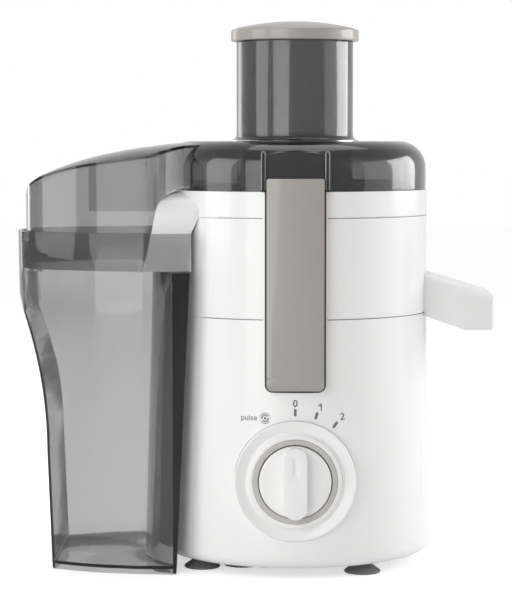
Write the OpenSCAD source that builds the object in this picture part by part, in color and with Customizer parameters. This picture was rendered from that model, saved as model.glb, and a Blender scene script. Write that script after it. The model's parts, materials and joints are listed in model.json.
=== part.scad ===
// Centrifugal juicer: motor base, juice bowl, pulp guide, lid with feed tube,
// pusher, pulp container, two latch arms and a rotary dial.
// Every piece is drawn about the drive axis, with the table at z = 0, the
// pulp container towards -X, the spout towards +X and the dial towards -Y.

/* [Motor housing] */
// Outer radius of the housing at its top edge
housing_r = 89.4; // [86:0.2:94]
// How much wider the housing is at its lower edge
housing_flare = 3.1; // [0:0.1:5]
// Height of the housing's lower edge above the table
table_gap = 7.5; // [6:0.5:12]
// Height of the housing from its lower edge to the bowl
housing_h = 161.5; // [150:0.5:175]
// Wall thickness of the housing
housing_wall = 2.5; // [2:0.1:3.5]
// Radius of the rounded lower edge
housing_edge = 7; // [3:0.5:9]
// Thickness of the deck that the bowl stands on
deck_t = 3; // [2:0.5:5]

/* [Juice bowl] */
// Height of the bowl's outer wall
bowl_h = 65.5; // [60:0.5:72]
// Thickness of the bowl's wall and floor
bowl_wall = 2.5; // [2:0.1:3.5]
// Inner radius of the collar round the drive
hub_r = 22; // [20:0.5:26]
// Height of that collar above the bowl's floor
hub_h = 11; // [8:0.5:14]

/* [Spout] */
// How far the spout reaches beyond the bowl
spout_reach = 45.6; // [35:0.2:60]
// Width of the spout at the bowl
spout_w = 44; // [34:1:52]
// How far each side of the spout turns in towards its mouth, in degrees
spout_taper = 4; // [0:0.5:8]
// Radius of the spout's rounded upper edges
spout_round = 10; // [4:0.5:14]
// Height of the spout where it leaves the bowl
spout_h = 27; // [22:0.5:34]
// Fall of the spout's roof from the bowl to the mouth
spout_fall = 14; // [8:0.5:18]
// Length of the mouth, which opens downwards
spout_mouth = 20.5; // [14:0.5:24]
// Wall thickness of the spout
spout_wall = 2; // [1.6:0.1:3]

/* [Pulp guide] */
// Height of the white band between bowl and lid
band_h = 17; // [14:0.5:20]
// Radius of the guide's opening round the filter basket
guide_open_r = 73.5; // [73:0.1:76]
// Thickness of the guide's walls
guide_wall = 2.3; // [1.8:0.1:3]
// How far the hood hangs down over the bowl
hood_drop = 35.5; // [26:0.5:42]
// Distance of the hood's nose from the axis at its lower edge
hood_reach = 98.8; // [96:0.1:106]
// Distance of the hood's nose from the axis just under its rounding
hood_nose = 91.3; // [90.5:0.1:95]
// Radius of the hood's rounded nose
hood_round = 16; // [10:0.5:20]
// Radius of the hood's rounded shoulders
shoulder_r = 24; // [14:1:28]

/* [Lid] */
// Outer radius of the round part of the lid
lid_r = 88.7; // [87:0.1:89.2]
// Height of the round part of the lid
lid_h = 32.5; // [28:0.5:38]
// Radius of the lid's rounded top edge
lid_round = 18; // [10:0.5:20]
// Wall thickness of the lid
lid_wall = 2.2; // [1.8:0.1:3]
// Radius of the long arc of the chute's roof
roof_r = 250; // [230:2:300]
// Distance from the axis to the highest line of the chute's roof
roof_top_x = 58; // [50:1:66]
// Radius of the rounding between the chute's roof and its end wall
chute_round = 20; // [12:1:26]
// How far the roof falls from its ridge to its side edges
roof_crown = 9; // [4:0.5:12]

/* [Feed tube and pusher] */
// Outer radius of the feed tube
tube_r = 39.5; // [36:0.5:41]
// Wall thickness of the feed tube
tube_wall = 2.2; // [1.8:0.1:3]
// Height of the feed tube above the lid
tube_h = 67; // [50:1:80]
// Gap between the pusher and the feed tube
pusher_gap = 0.8; // [0.5:0.1:1.2]
// Radius of the pusher's cap
cap_r = 43.2; // [42:0.2:46]
// Height of the cap's rim
cap_h = 8; // [6:0.5:11]
// How much the cap's top is domed
cap_dome = 5.5; // [3:0.5:8]

/* [Pulp container] */
// Height of the container
container_h = 224; // [212:1:230]
// Distance from the axis to the container's outer end
container_reach = 187.4; // [175:0.2:200]
// Half the container's width at its widest line
container_half_w = 72.5; // [70:0.5:78]
// Radius of its long curved sides in plan
side_r = 128; // [110:1:150]
// Radius of its outer end in plan
end_r = 107; // [90:1:120]
// Wall thickness of the container
container_wall = 2.2; // [1.8:0.1:3]
// How much narrower each wall stands at the table
container_draft = 2.5; // [1:0.1:4]
// Gap between the container's hollow side and the housing, at the top
heel_gap = 4.1; // [3.5:0.1:6]
// Radius of the hollow grip in its outer end
grip_r = 260; // [200:5:320]
// Depth of that grip
grip_depth = 23; // [16:0.5:26]
// Height at which the grip is deepest
grip_z = 80; // [60:1:100]

/* [Latch arms] */
// Width of each latch arm
arm_w = 37; // [30:1:44]
// Height of the arm's lower end above the table
arm_low_z = 123.5; // [115:0.5:130]
// How far the arm's outer face stands out from the housing's top edge
arm_stand = 8.1; // [7.5:0.1:10]
// How far the arm's top stands above the lid's lower edge
arm_over_lid = 8.5; // [7.5:0.5:12]
// Wall thickness of the arm
arm_wall = 2; // [1.6:0.1:2.6]
// Radius of the hinge pins
pin_r = 1.5; // [1.2:0.1:2]

/* [Dial] */
// Height of the dial's centre above the table
dial_z = 65; // [55:0.5:75]
// Outer radius of the dial's bezel
bezel_r = 39.3; // [36:0.1:42]
// Outer radius of the grey ring
ring_r = 27.5; // [26:0.1:29]
// Radius of the knob
knob_r = 23.3; // [20:0.1:24]
// Width of the grip bar across the knob
grip_w = 15.3; // [12:0.1:18]
// Radius of the dial's shaft
dial_shaft_r = 3; // [2.5:0.1:4]

/* [Motor and drive] */
// Radius of the motor shaft
shaft_r = 4; // [3.5:0.1:5]
// Outer radius of the rotor
rotor_r = 27; // [24:0.5:30]
// Length of the rotor's core
rotor_h = 40; // [32:1:46]
// Half the width of the stator across its flats
stator_half = 44; // [42:0.5:48]
// Radius of the cooling fan
fan_r = 42; // [36:0.5:44]
// Radius of the drive coupler over its teeth
coupler_r = 13; // [11:0.5:15]

/* [Filter basket] */
// Radius of the basket's rim
basket_r = 71.5; // [69:0.1:72]
// Radius of the basket's mesh wall at its lower edge
basket_low_r = 49; // [46:0.5:52]
// Height of the basket's rim above the pulp guide
basket_over = 5.5; // [4:0.5:8]
// Number of ribs that carry the mesh
basket_ribs = 12; // [8:1:16]
// Number of tooth rows on the grater disc
tooth_rows = 8; // [6:1:10]

/* [Suction feet] */
// Radius of each suction foot
foot_r = 12; // [9:0.5:13]

/* [Hidden] */

white = [0.95, 0.95, 0.94];
smoke = [0.35, 0.35, 0.35, 0.45];
warm_grey = [0.64, 0.62, 0.6];
ring_grey = [0.72, 0.71, 0.7];
rubber = [0.46, 0.46, 0.46];
steel = [0.78, 0.78, 0.8];
dark_steel = [0.45, 0.45, 0.48];
copper = [0.72, 0.45, 0.2];
black_plastic = [0.15, 0.15, 0.16];

eps = 0.01;
far = 400;

// Fits
seat = 0.3;          // gap at rest between curved faces of different pieces
run_fit = 0.05;      // radial running clearance of a shaft in its hole
slot_gap = 1.2;      // gap round each latch arm
skirt_gap = 3.0;     // gap between the container's rim and the lid's skirt
bond = 0.05;         // gap between curved faces of pieces that are joined for good
seam_gap = 0.6;      // height and depth of the shadow line at the bowl's two edges

// Heights
seam_z = table_gap + housing_h;
bowl_top = seam_z + bowl_h;
guide_top = bowl_top + band_h;
lid_top = guide_top + lid_h;
tube_top = lid_top + tube_h;
hood_low = bowl_top - hood_drop;
deck_z = seam_z - deck_t;
floor_z = seam_z + bowl_wall;
coupler_z = seam_z + 3.5;
grater_z = seam_z + 34;
ledge_z = guide_top + 2.2;

// Radii of the housing
foot_edge_r = housing_r + housing_flare;
arm_r = housing_r + arm_stand;
function housing_r_at(z) = foot_edge_r - housing_flare * (z - table_gap) / housing_h;

// Plan of the container, its lid skirt and the hood: two long arcs and an end arc
side_x = -92;
side_y = side_r - container_half_w;
end_x = -(container_reach - end_r);
skirt_inset = container_wall + skirt_gap;

// The whole is centred over its box: the spout and container ends, the arms and the knob
spout_end = housing_r + spout_reach;
knob_front = foot_edge_r + 13;
axis_x = (container_reach - spout_end) / 2;
axis_y = (knob_front - arm_r) / 2;

module from_axis() { translate([axis_x, axis_y, 0]) children(); }

// ---- shared shapes ----

// Runs a flat X-Z outline through from the front to the back
module along_y(half = far) {
    rotate([90, 0, 0]) linear_extrude(2 * half, center = true) children();
}

// Runs a flat Y-Z outline through from left to right
module along_x(half = far) {
    rotate([90, 0, 90]) linear_extrude(2 * half, center = true) children();
}

// A body of revolution about the dial's axis; the outline is radius by distance
// in front of the drive axis
module about_dial() {
    translate([0, 0, dial_z]) rotate([90, 0, 0]) rotate_extrude($fn = 96) children();
}

function arc(cx, cy, r, a0, a1, n = 12) =
    [for (i = [0:n]) let(a = a0 + (a1 - a0) * i / n) [cx + r * cos(a), cy + r * sin(a)]];

// A flat slab of width w from z0 to z1 with rounded corners, in X-Z
module rounded_slab(w, z0, z1, r) {
    translate([-w / 2, z0 + r]) square([w, z1 - z0 - 2 * r]);
    translate([-w / 2 + r, z0]) square([w - 2 * r, z1 - z0]);
    for (x = [-1, 1], z = [z0 + r, z1 - r])
        translate([x * (w / 2 - r), z]) circle(r, $fn = 48);
}

// Everything inside the long plan outline between two heights, drawn in by inset;
// draft makes it narrower at the table
module plan_solid(inset, z0, z1, draft = 0) {
    function shrink(z) = inset + draft * (container_h - z) / container_h;
    intersection_for (side = [-1, 1])
        translate([side_x, side * side_y, z0])
            cylinder(z1 - z0, side_r - shrink(z0), side_r - shrink(z1), $fn = 180);
}

module plan_end(inset, z0, z1, draft = 0) {
    function shrink(z) = inset + draft * (container_h - z) / container_h;
    translate([end_x, 0, z0])
        cylinder(z1 - z0, end_r - shrink(z0), end_r - shrink(z1), $fn = 180);
}

// ---- motor housing ----

module housing_outline(inset) {
    low_r = housing_r_at(table_gap) - inset;
    edge = max(housing_edge - inset, 0.5);
    z0 = table_gap + inset;
    polygon(concat([[0, z0]], arc(low_r - edge, z0 + edge, edge, -90, 0),
        [[housing_r - inset, seam_z - inset], [0, seam_z - inset]]));
}

arm_top_z = guide_top + arm_over_lid;
pivot_r = arm_r - 5.6;
pivot_z = arm_low_z + 5.6;
slot_r = housing_r - 2;
slot_w = arm_w + 2 * slot_gap;
slot_low_z = arm_low_z - slot_gap;
ear_x = arm_w / 2 - arm_wall - 1.9;
ear_t = 3;
ear_r = 2.8;

// The shallow slot for a latch arm, cut out of every piece behind it
module latch_slots(z0, z1) {
    for (side = [-1, 1]) {
        intersection() {
            difference() {
                translate([0, 0, z0]) cylinder(z1 - z0, r = foot_edge_r + 2, $fn = 180);
                translate([0, 0, z0 - eps]) cylinder(z1 - z0 + 2 * eps, r = slot_r, $fn = 180);
            }
            translate([0, side * far / 2, 0]) along_y(far / 2)
                rounded_slab(slot_w, slot_low_z, arm_top_z + 20, 5);
        }
    }
}

// The thicker wall behind each slot
module latch_backs(z0, z1) {
    intersection() {
        difference() {
            translate([0, 0, z0]) cylinder(z1 - z0, r = housing_r - 1, $fn = 180);
            translate([0, 0, z0 - eps])
                cylinder(z1 - z0 + 2 * eps, r = slot_r - housing_wall - 1, $fn = 180);
        }
        translate([-slot_w / 2 - 2, -far, z0]) cube([slot_w + 4, 2 * far, z1 - z0]);
    }
}

// Dial socket: a flat-floored round pocket in the front of the housing
socket_y = 80.2;
socket_wall = 2.2;
bush_r = 6;

boss_at = 38;
boss_r = 5.5;
boss_low_z = 124;
base_screw_r = 76;
base_screw_angles = [30, 105, 180, 255, 330];

module at_base_screws() {
    for (a = base_screw_angles) rotate([0, 0, a]) translate([base_screw_r, 0, table_gap]) children();
}

module housing_bosses() {
    for (x = [-1, 1], y = [-1, 1]) translate([x * boss_at, y * boss_at, boss_low_z])
        cylinder(deck_z - boss_low_z + eps, r = boss_r, $fn = 48);
    at_base_screws() translate([0, 0, plate_t]) {
        cylinder(15, r = 4.5, $fn = 48);
        // web that ties the boss to the wall
        translate([3, -1, 1.5]) cube([foot_edge_r - housing_wall - 4 - base_screw_r, 2, 11]);
    }
}

gland_r = 5.5;
gland_z = 24;
plate_t = 2.5;
plate_r = foot_edge_r - housing_edge - 0.5;
screw_r = 1.6;
seal_r = 12;

module motor_housing() {
    from_axis() color(white) difference() {
        union() {
            difference() {
                housing_body();
                latch_slots(slot_low_z, seam_z + 1);
                // round seat for the arm's lower end
                for (side = [-1, 1]) translate([0, side * pivot_r, pivot_z]) rotate([0, 90, 0])
                    cylinder(arm_w + slot_gap, r = arm_r - pivot_r + 0.5, center = true, $fn = 64);
            }
            for (side = [-1, 1], x = [-1, 1]) latch_ear(side, x);
        }
        for (side = [-1, 1]) translate([0, side * pivot_r, pivot_z]) rotate([0, 90, 0])
            cylinder(arm_w, r = pin_r, center = true, $fn = 48);
        // dial socket
        about_dial() translate([0, socket_y]) square([bezel_r + 0.15, 30]);
        about_dial() translate([0, socket_y - 5]) square([bush_r + 0.2, 10]);
        // shaft opening in the deck
        translate([0, 0, deck_z - 1]) cylinder(deck_t + 2, r = seal_r, $fn = 64);
        // cord inlet at the back
        translate([0, foot_edge_r, gland_z]) rotate([90, 0, 0])
            cylinder(20, r = gland_r, center = true, $fn = 48);
        for (x = [-1, 1], y = [-1, 1]) translate([x * boss_at, y * boss_at, boss_low_z - 1])
            cylinder(14, r = screw_r, $fn = 32);
        at_base_screws() cylinder(16, r = screw_r, $fn = 32);
    }
}

module housing_body() {
    difference() {
        rotate_extrude($fn = 180) housing_outline(0);
        difference() {
            rotate_extrude($fn = 180) housing_outline(housing_wall);
            translate([0, 0, deck_z]) cylinder(deck_t, r = far / 2, $fn = 96);
        }
        // open bottom for the base plate
        translate([0, 0, table_gap - 1]) cylinder(housing_wall + 2, r = plate_r + seat, $fn = 180);
    }
    latch_backs(slot_low_z - 4, deck_z + 1);
    intersection() {
        rotate_extrude($fn = 180) housing_outline(0.6);
        about_dial() translate([0, socket_y - socket_wall]) square([bezel_r + socket_wall, 20]);
    }
    housing_bosses();
    // the low ring that centres the bowl
    translate([0, 0, seam_z - eps]) difference() {
        cylinder(bowl_wall - 0.2, r = hub_r - seat, $fn = 96);
        translate([0, 0, -1]) cylinder(bowl_wall + 2, r = hub_r - 2.6, $fn = 96);
    }
}

// One of the two ears that hold each latch pin
module latch_ear(side, x) {
    web = pivot_r - slot_r + 3;
    translate([x * ear_x, side * pivot_r, pivot_z]) {
        rotate([0, 90, 0]) cylinder(ear_t, r = ear_r, center = true, $fn = 48);
        translate([-ear_t / 2, side > 0 ? -web : 0, 0.4 - ear_r]) cube([ear_t, web, 2 * ear_r - 0.8]);
    }
}

// ---- base plate, screws and feet ----

// Vent slots in the base plate lie in a fan under the motor
vent_n = 9;

module base_plate() {
    from_axis() color(white) difference() {
        translate([0, 0, table_gap]) cylinder(plate_t, r = plate_r, $fn = 180);
        for (i = [0:vent_n - 1]) rotate([0, 0, 90 + (i - (vent_n - 1) / 2) * 9])
            translate([22, -1.5, table_gap - 1]) cube([24, 3, plate_t + 2]);
        at_base_screws() translate([0, 0, -1]) cylinder(plate_t + 2, r = screw_r, $fn = 32);
        for (p = foot_places) translate([p[0], p[1], 0])
            cylinder(table_gap + plate_t + 1, r = foot_stem_r, $fn = 32);
    }
}

module base_screws() {
    from_axis() color(steel) at_base_screws() screw(13, 3.2, 2);
}

// A screw along +Z from its seat at z = 0, its head below
module screw(length, head_r, head_h) {
    difference() {
        union() {
            cylinder(length, r = screw_r, $fn = 32);
            translate([0, 0, -head_h]) cylinder(head_h, r = head_r, $fn = 32);
        }
        for (a = [0, 90]) rotate([0, 0, a])
            translate([-head_r * 0.6, -0.4, -head_h - 1]) cube([head_r * 1.2, 0.8, 1.8]);
    }
}

foot_stem_r = 3;
foot_neck_r = 5;
// right and left front, right and left rear, right and inner
foot_places = [[44.6, -59], [-61.7, -42], [44.6, 59], [-61.7, 42], [70, 9], [-35.5, -34.5]];

module suction_foot(i) {
    rubber_grip = 2.2;
    from_axis() color(rubber) translate([foot_places[i][0], foot_places[i][1], 0])
        difference() {
            rotate_extrude($fn = 64) polygon(concat(
                [[0, 0], [foot_r - 1.2, 0]], arc(foot_r - 1, 1, 1, -80, 60, 5),
                [[foot_neck_r + 0.6, table_gap - 1.4], [foot_neck_r, table_gap - 0.6],
                 [foot_neck_r, table_gap], [foot_stem_r, table_gap],
                 [foot_stem_r, table_gap + plate_t], [foot_stem_r + 0.9, table_gap + plate_t],
                 [foot_stem_r - 0.6, table_gap + plate_t + rubber_grip],
                 [0, table_gap + plate_t + rubber_grip]]));
            // the hollow of the sucker, inside its flat sealing rim
            translate([0, 0, -1]) cylinder(1 + 1.6, foot_r - 3, foot_r - 7, $fn = 64);
        }
}

module foot_front_right() suction_foot(0);
module foot_front_left() suction_foot(1);
module foot_rear_right() suction_foot(2);
module foot_rear_left() suction_foot(3);
module foot_right() suction_foot(4);
module foot_inner() suction_foot(5);

// ---- juice bowl ----

// Shadow line round the lower edge of a piece that stands on another
module seam_line(z) {
    difference() {
        translate([0, 0, z - 1]) cylinder(1 + seam_gap, r = housing_r + 1, $fn = 180);
        translate([0, 0, z - 2]) cylinder(3 + seam_gap, r = housing_r - seam_gap, $fn = 180);
    }
}

module juice_bowl() {
    from_axis() color(white) difference() {
        union() {
            translate([0, 0, seam_z]) difference() {
                cylinder(bowl_h, r = housing_r, $fn = 180);
                translate([0, 0, bowl_wall]) cylinder(bowl_h, r = housing_r - bowl_wall, $fn = 180);
            }
            latch_backs(seam_z + bowl_wall - 1, bowl_top - 6);
            translate([0, 0, seam_z]) cylinder(bowl_wall + hub_h, r = hub_r + 2.2, $fn = 96);
        }
        translate([0, 0, seam_z - 1]) cylinder(bowl_wall + hub_h + 2, r = hub_r, $fn = 96);
        latch_slots(seam_z - 1, bowl_top + 1);
        seam_line(seam_z);
        // outlet to the spout
        intersection() {
            spout_body(spout_wall);
            translate([housing_r - 11, -far / 2, 0]) cube(far);
        }
    }
}

// ---- spout ----

spout_root_z = seam_z - 3;
mouth_z = spout_root_z - 9;
spout_roof_z = spout_root_z + spout_h + 3;
spout_slope = atan(spout_fall / spout_reach);
spout_end_r = 6;

// Side view of the spout, drawn in by t; the mouth is open downwards
module spout_side(t) {
    inside = t > 0;
    x0 = housing_r - 12;
    x_end = spout_end - t;
    mouth_x = spout_end - spout_mouth + t;
    r = spout_end_r - t;
    corner_x = x_end - 1 - r;
    corner_z = spout_roof_z - (corner_x - housing_r) * tan(spout_slope)
        - (r + t) / cos(spout_slope);
    polygon(concat(
        [[x0, inside ? floor_z + 0.5 : spout_root_z + 3], [housing_r, inside ? seam_z + 0.8 : spout_root_z],
         [mouth_x, mouth_z + t], [mouth_x, inside ? mouth_z - 5 : mouth_z],
         [x_end, inside ? mouth_z - 5 : mouth_z]],
        arc(corner_x, corner_z, r, 0, 90 - spout_slope, 8),
        [[housing_r, spout_roof_z + 3], [x0, spout_roof_z + 8]]));
}

// All that lies inside one side wall and under the roof, with the rounded edge between them
module spout_edge(side, t) {
    pts = concat([[-far / 2, -t]], arc(-spout_round, -spout_round, spout_round - t, 90, 0, 10),
        [[-t, -far / 2], [-far / 2, -far / 2]]);
    translate([housing_r, 0, spout_roof_z]) rotate([0, spout_slope, 0])
        translate([0, side * spout_w / 2, 0]) rotate([0, 0, -side * spout_taper]) along_x(far / 4)
            polygon([for (p = pts) [side * p[0], p[1]]]);
}

// Plan of the spout: only its two end corners are rounded by it
module spout_plan(t) {
    half = spout_w / 2 - spout_reach * tan(spout_taper) + 0.8;
    r = spout_end_r;
    linear_extrude(far) polygon(concat([[0, half + 20], [0, -half - 20], [spout_end - 2 * r, -half - 2]],
        arc(spout_end - r, -half + r, r - t, -90, 0, 8), arc(spout_end - r, half - r, r - t, 0, 90, 8),
        [[spout_end - 2 * r, half + 2]]));
}

module spout_body(t) {
    intersection() {
        along_y(spout_w) spout_side(t);
        spout_edge(1, t);
        spout_edge(-1, t);
        spout_plan(t);
    }
}

module spout() {
    from_axis() color(white) difference() {
        spout_body(0);
        spout_body(spout_wall);
        translate([0, 0, seam_z - eps]) cylinder(bowl_h, r = housing_r + bond, $fn = 180);
        translate([0, 0, mouth_z - 1]) cylinder(seam_z - mouth_z + 1, r = housing_r + seat + 0.1, $fn = 180);
    }
}

// ---- pulp guide ----

lip_in = 2.2;
rest_r = housing_r - bowl_wall - 0.2;
groove_out = lid_r - 1.5;
groove_in = groove_out - 1.8;
groove_deep = 3.4;

module guide_ring() {
    rotate_extrude($fn = 180) polygon([
        [rest_r - lip_in, bowl_top - 4], [rest_r, bowl_top - 4], [rest_r, bowl_top],
        [housing_r, bowl_top], [housing_r, guide_top],
        [guide_open_r, guide_top], [guide_open_r, guide_top - 9],
        [guide_open_r + 2, guide_top - 9], [guide_open_r + 2, guide_top - guide_wall],
        [rest_r - lip_in - 1, guide_top - guide_wall], [rest_r - lip_in, guide_top - 6]]);
}

// Ring round the drive axis, left out behind the latch arms and over the hood
module lid_lip(r_in, r_out, z0, z1) {
    difference() {
        translate([0, 0, z0]) cylinder(z1 - z0, r = r_out, $fn = 180);
        translate([0, 0, z0 - 1]) cylinder(z1 - z0 + 2, r = r_in, $fn = 180);
        translate([-far - 58, -far / 2, 0]) cube(far);
        translate([-slot_w / 2 - 3, -far / 2, 0]) cube([slot_w + 6, far, far]);
    }
}

// Side view of the hood, drawn in by t: level top, rounded nose, sloping front
module hood_side(t, grow_right = 0) {
    top = guide_top - t;
    r = hood_round - t;
    nose_z = guide_top - hood_round;
    lean = (hood_reach - hood_nose) / (nose_z - hood_low);
    polygon(concat(
        [[-50, top]], arc(-hood_nose + hood_round, nose_z, r, 90, 180 - 2, 10),
        [[-hood_nose - lean * (nose_z - hood_low) + t, hood_low - (t > 0 ? 1 : 0)],
         [-housing_r + 21.4, hood_low - (t > 0 ? 1 : 0)], [-housing_r + 21.4, hood_low + 25],
         [-housing_r + 26.5, bowl_top - 0.2], [-50, bowl_top - 0.2]]));
}

// The rounded shoulders of the hood, in Y-Z
module hood_shoulders(t) {
    half = container_half_w - skirt_inset - t;
    r = shoulder_r - t;
    top = guide_top - t;
    polygon(concat([[half, hood_low - 1]], arc(half - r, top - r, r, 0, 90, 10),
        arc(-half + r, top - r, r, 90, 180, 10), [[-half, hood_low - 1]]));
}

module hood_solid(t) {
    intersection() {
        plan_solid(skirt_inset + t, hood_low - 1, guide_top + 1);
        along_y() hood_side(t);
        along_x() hood_shoulders(t);
    }
}

module pulp_guide() {
    from_axis() color(white) {
        difference() {
            union() {
                intersection() {
                    guide_ring();
                    union() {
                        along_y() hood_side(0);
                        translate([-52, -far / 2, 0]) cube(far);
                    }
                }
                difference() {
                    hood_solid(0);
                    hood_solid(guide_wall);
                    translate([0, 0, bowl_top - 1]) cylinder(band_h + 2, r = guide_open_r, $fn = 180);
                    translate([0, 0, bowl_top - 5]) cylinder(6 + band_h - guide_wall,
                        r = rest_r - lip_in, $fn = 180);
                }
            }
            // clear of the bowl's wall below the band
            difference() {
                translate([0, 0, hood_low - 2])
                    cylinder(bowl_top - hood_low + 2, r = housing_r + seat, $fn = 180);
                translate([0, 0, bowl_top - 5]) cylinder(10, r = rest_r, $fn = 180);
            }
            latch_slots(bowl_top - 6, guide_top + 1);
            intersection() {
                seam_line(bowl_top);
                translate([-50, -far / 2, 0]) cube(far);
            }
            lid_lip(groove_in, groove_out, guide_top - groove_deep, guide_top + 1);
        }
    }
}

// ---- lid ----

panel_y = lid_r - 4.7;
neck_x = 73;
neck_y = 50;

module lid_round_outline(t) {
    r = lid_round - t;
    polygon(concat([[0, guide_top - (t > 0 ? 1 : 0)], [lid_r - t, guide_top - (t > 0 ? 1 : 0)]],
        arc(lid_r - lid_round, lid_top - lid_round, r, 0, 90, 14), [[0, lid_top - t]]));
}

roof_top_z = lid_top - 0.4;

// Roof of the chute: a long arc in side view that rounds down to its side edges
module chute_roof(t) {
    r = roof_r - t;
    half = container_half_w;
    translate([-roof_top_x, 0, roof_top_z - roof_r]) rotate([90, 0, 0])
        rotate_extrude($fn = 360) polygon(concat(
            [[r / 2, -half], [r / 2, half]],
            [for (i = [10:-1:-10]) let(y = half * sign(i) * sqrt(abs(i) / 10))
                [r - roof_crown * pow(i / 10, 2), y]]));
}

// End wall of the chute, rounded into the roof
module chute_end(t) {
    wall_x = -(container_reach - skirt_inset) + t;
    drop = container_reach - skirt_inset - roof_top_x;
    corner_z = roof_top_z - roof_r + sqrt(roof_r * roof_r - drop * drop);
    r = chute_round - t;
    polygon(concat([[wall_x, hood_low - 1]],
        arc(wall_x - t + chute_round, corner_z - chute_round / 2, r, 180, 110, 8),
        [[wall_x + 60, lid_top + 10], [0, lid_top + 10], [0, hood_low - 1]]));
}

// The chute in plan: narrow where it leaves the round lid, then as wide as the skirt
module chute_plan(t) {
    half = container_half_w + 10;
    wide_x = neck_x + 28;
    wide_y = neck_y + 19.5;
    translate([0, 0, hood_low - 2]) linear_extrude(far / 2) polygon([
        [0, -neck_y + t], [-neck_x, -neck_y + t], [-wide_x + t / 2, -wide_y + t],
        [-wide_x + t / 2, -half], [-far, -half], [-far, half], [-wide_x + t / 2, half],
        [-wide_x + t / 2, wide_y - t], [-neck_x, neck_y - t], [0, neck_y - t]]);
}

module chute_solid(t) {
    low = hood_low - (t > 0 ? 1 : 0);
    intersection() {
        plan_solid(skirt_inset + t, low, lid_top + 5);
        plan_end(skirt_inset + t, low, lid_top + 5);
        chute_roof(t);
        along_y() chute_end(t);
        chute_plan(t);
    }
}

tube_low_z = grater_z + 6;

module lid() {
    from_axis() color(smoke) difference() {
        union() {
            difference() {
                union() {
                    rotate_extrude($fn = 180) lid_round_outline(0);
                    difference() {
                        chute_solid(0);
                        // the round body and the hood stand where the chute's walls would be
                        translate([0, 0, hood_low - 3])
                            cylinder(guide_top - hood_low + 3, r = housing_r + seat, $fn = 180);
                        along_y() hood_clear();
                    }
                    lid_rails();
                }
                difference() {
                    rotate_extrude($fn = 180) lid_round_outline(lid_wall);
                    lid_panel_backs();
                }
                chute_solid(lid_wall);
            }
            // lip that drops into the guide's groove
            lid_lip(groove_in + 0.2, groove_out - 0.2, guide_top - groove_deep + 0.4, guide_top + 1);
        }
        // seat of the feed tube
        translate([0, 0, lid_top - lid_wall - 2]) cylinder(lid_wall + 6, r = tube_r + bond, $fn = 128);
        // flat panel behind the head of each latch arm
        for (side = [-1, 1]) translate([-slot_w / 2 + 0.3, side > 0 ? panel_y : -far, ledge_z])
            cube([slot_w - 0.6, far - panel_y, lid_h]);
        latch_slots(guide_top - 1, ledge_z + eps);
    }
}

// The tube stands on the lid with a filleted foot and reaches down into the basket
module feed_tube() {
    foot_h = 0.6;
    fillet = 4;
    from_axis() color(smoke) difference() {
        union() {
            rotate_extrude($fn = 128) polygon(concat([[0, lid_top], [tube_r + fillet, lid_top]],
                arc(tube_r + fillet, lid_top + foot_h + fillet, fillet, -90, -180, 8),
                [[0, lid_top + foot_h + fillet]]));
            translate([0, 0, tube_low_z]) cylinder(tube_top - tube_low_z, r = tube_r, $fn = 128);
        }
        translate([0, 0, tube_low_z - 1])
            cylinder(tube_top - tube_low_z + 2, r = tube_r - tube_wall, $fn = 128);
    }
}

module hood_clear() {
    nose_z = guide_top - hood_round;
    lean = (hood_reach - hood_nose) / (nose_z - hood_low);
    g = 0.6;
    polygon(concat(
        [[0, guide_top]], arc(-hood_nose + hood_round, nose_z, hood_round + g, 90, 180 - 2, 10),
        [[-hood_nose - lean * (nose_z - hood_low + 4) - g, hood_low - 4], [0, hood_low - 4]]));
}

module lid_panel_backs() {
    for (side = [-1, 1]) translate([-slot_w / 2 - 2, side > 0 ? panel_y - lid_wall : -far, 0])
        cube([slot_w + 4, far - panel_y + lid_wall, far]);
}

// Two rounded rails beside the head of each latch arm
module lid_rails() {
    rail_w = 2.4;
    for (side = [-1, 1], x = [-1, 1])
        translate([x * (slot_w / 2 + rail_w / 2 - 0.3), side * (lid_r - 2), 0])
            along_y(3.4) {
                translate([-rail_w / 2, guide_top]) square([rail_w, lid_h - 8]);
                translate([0, guide_top + lid_h - 8]) circle(rail_w / 2, $fn = 32);
            }
}

// ---- latch arms ----

arm_in_r = slot_r + 0.5;
hook_y = panel_y + 0.7;

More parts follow.
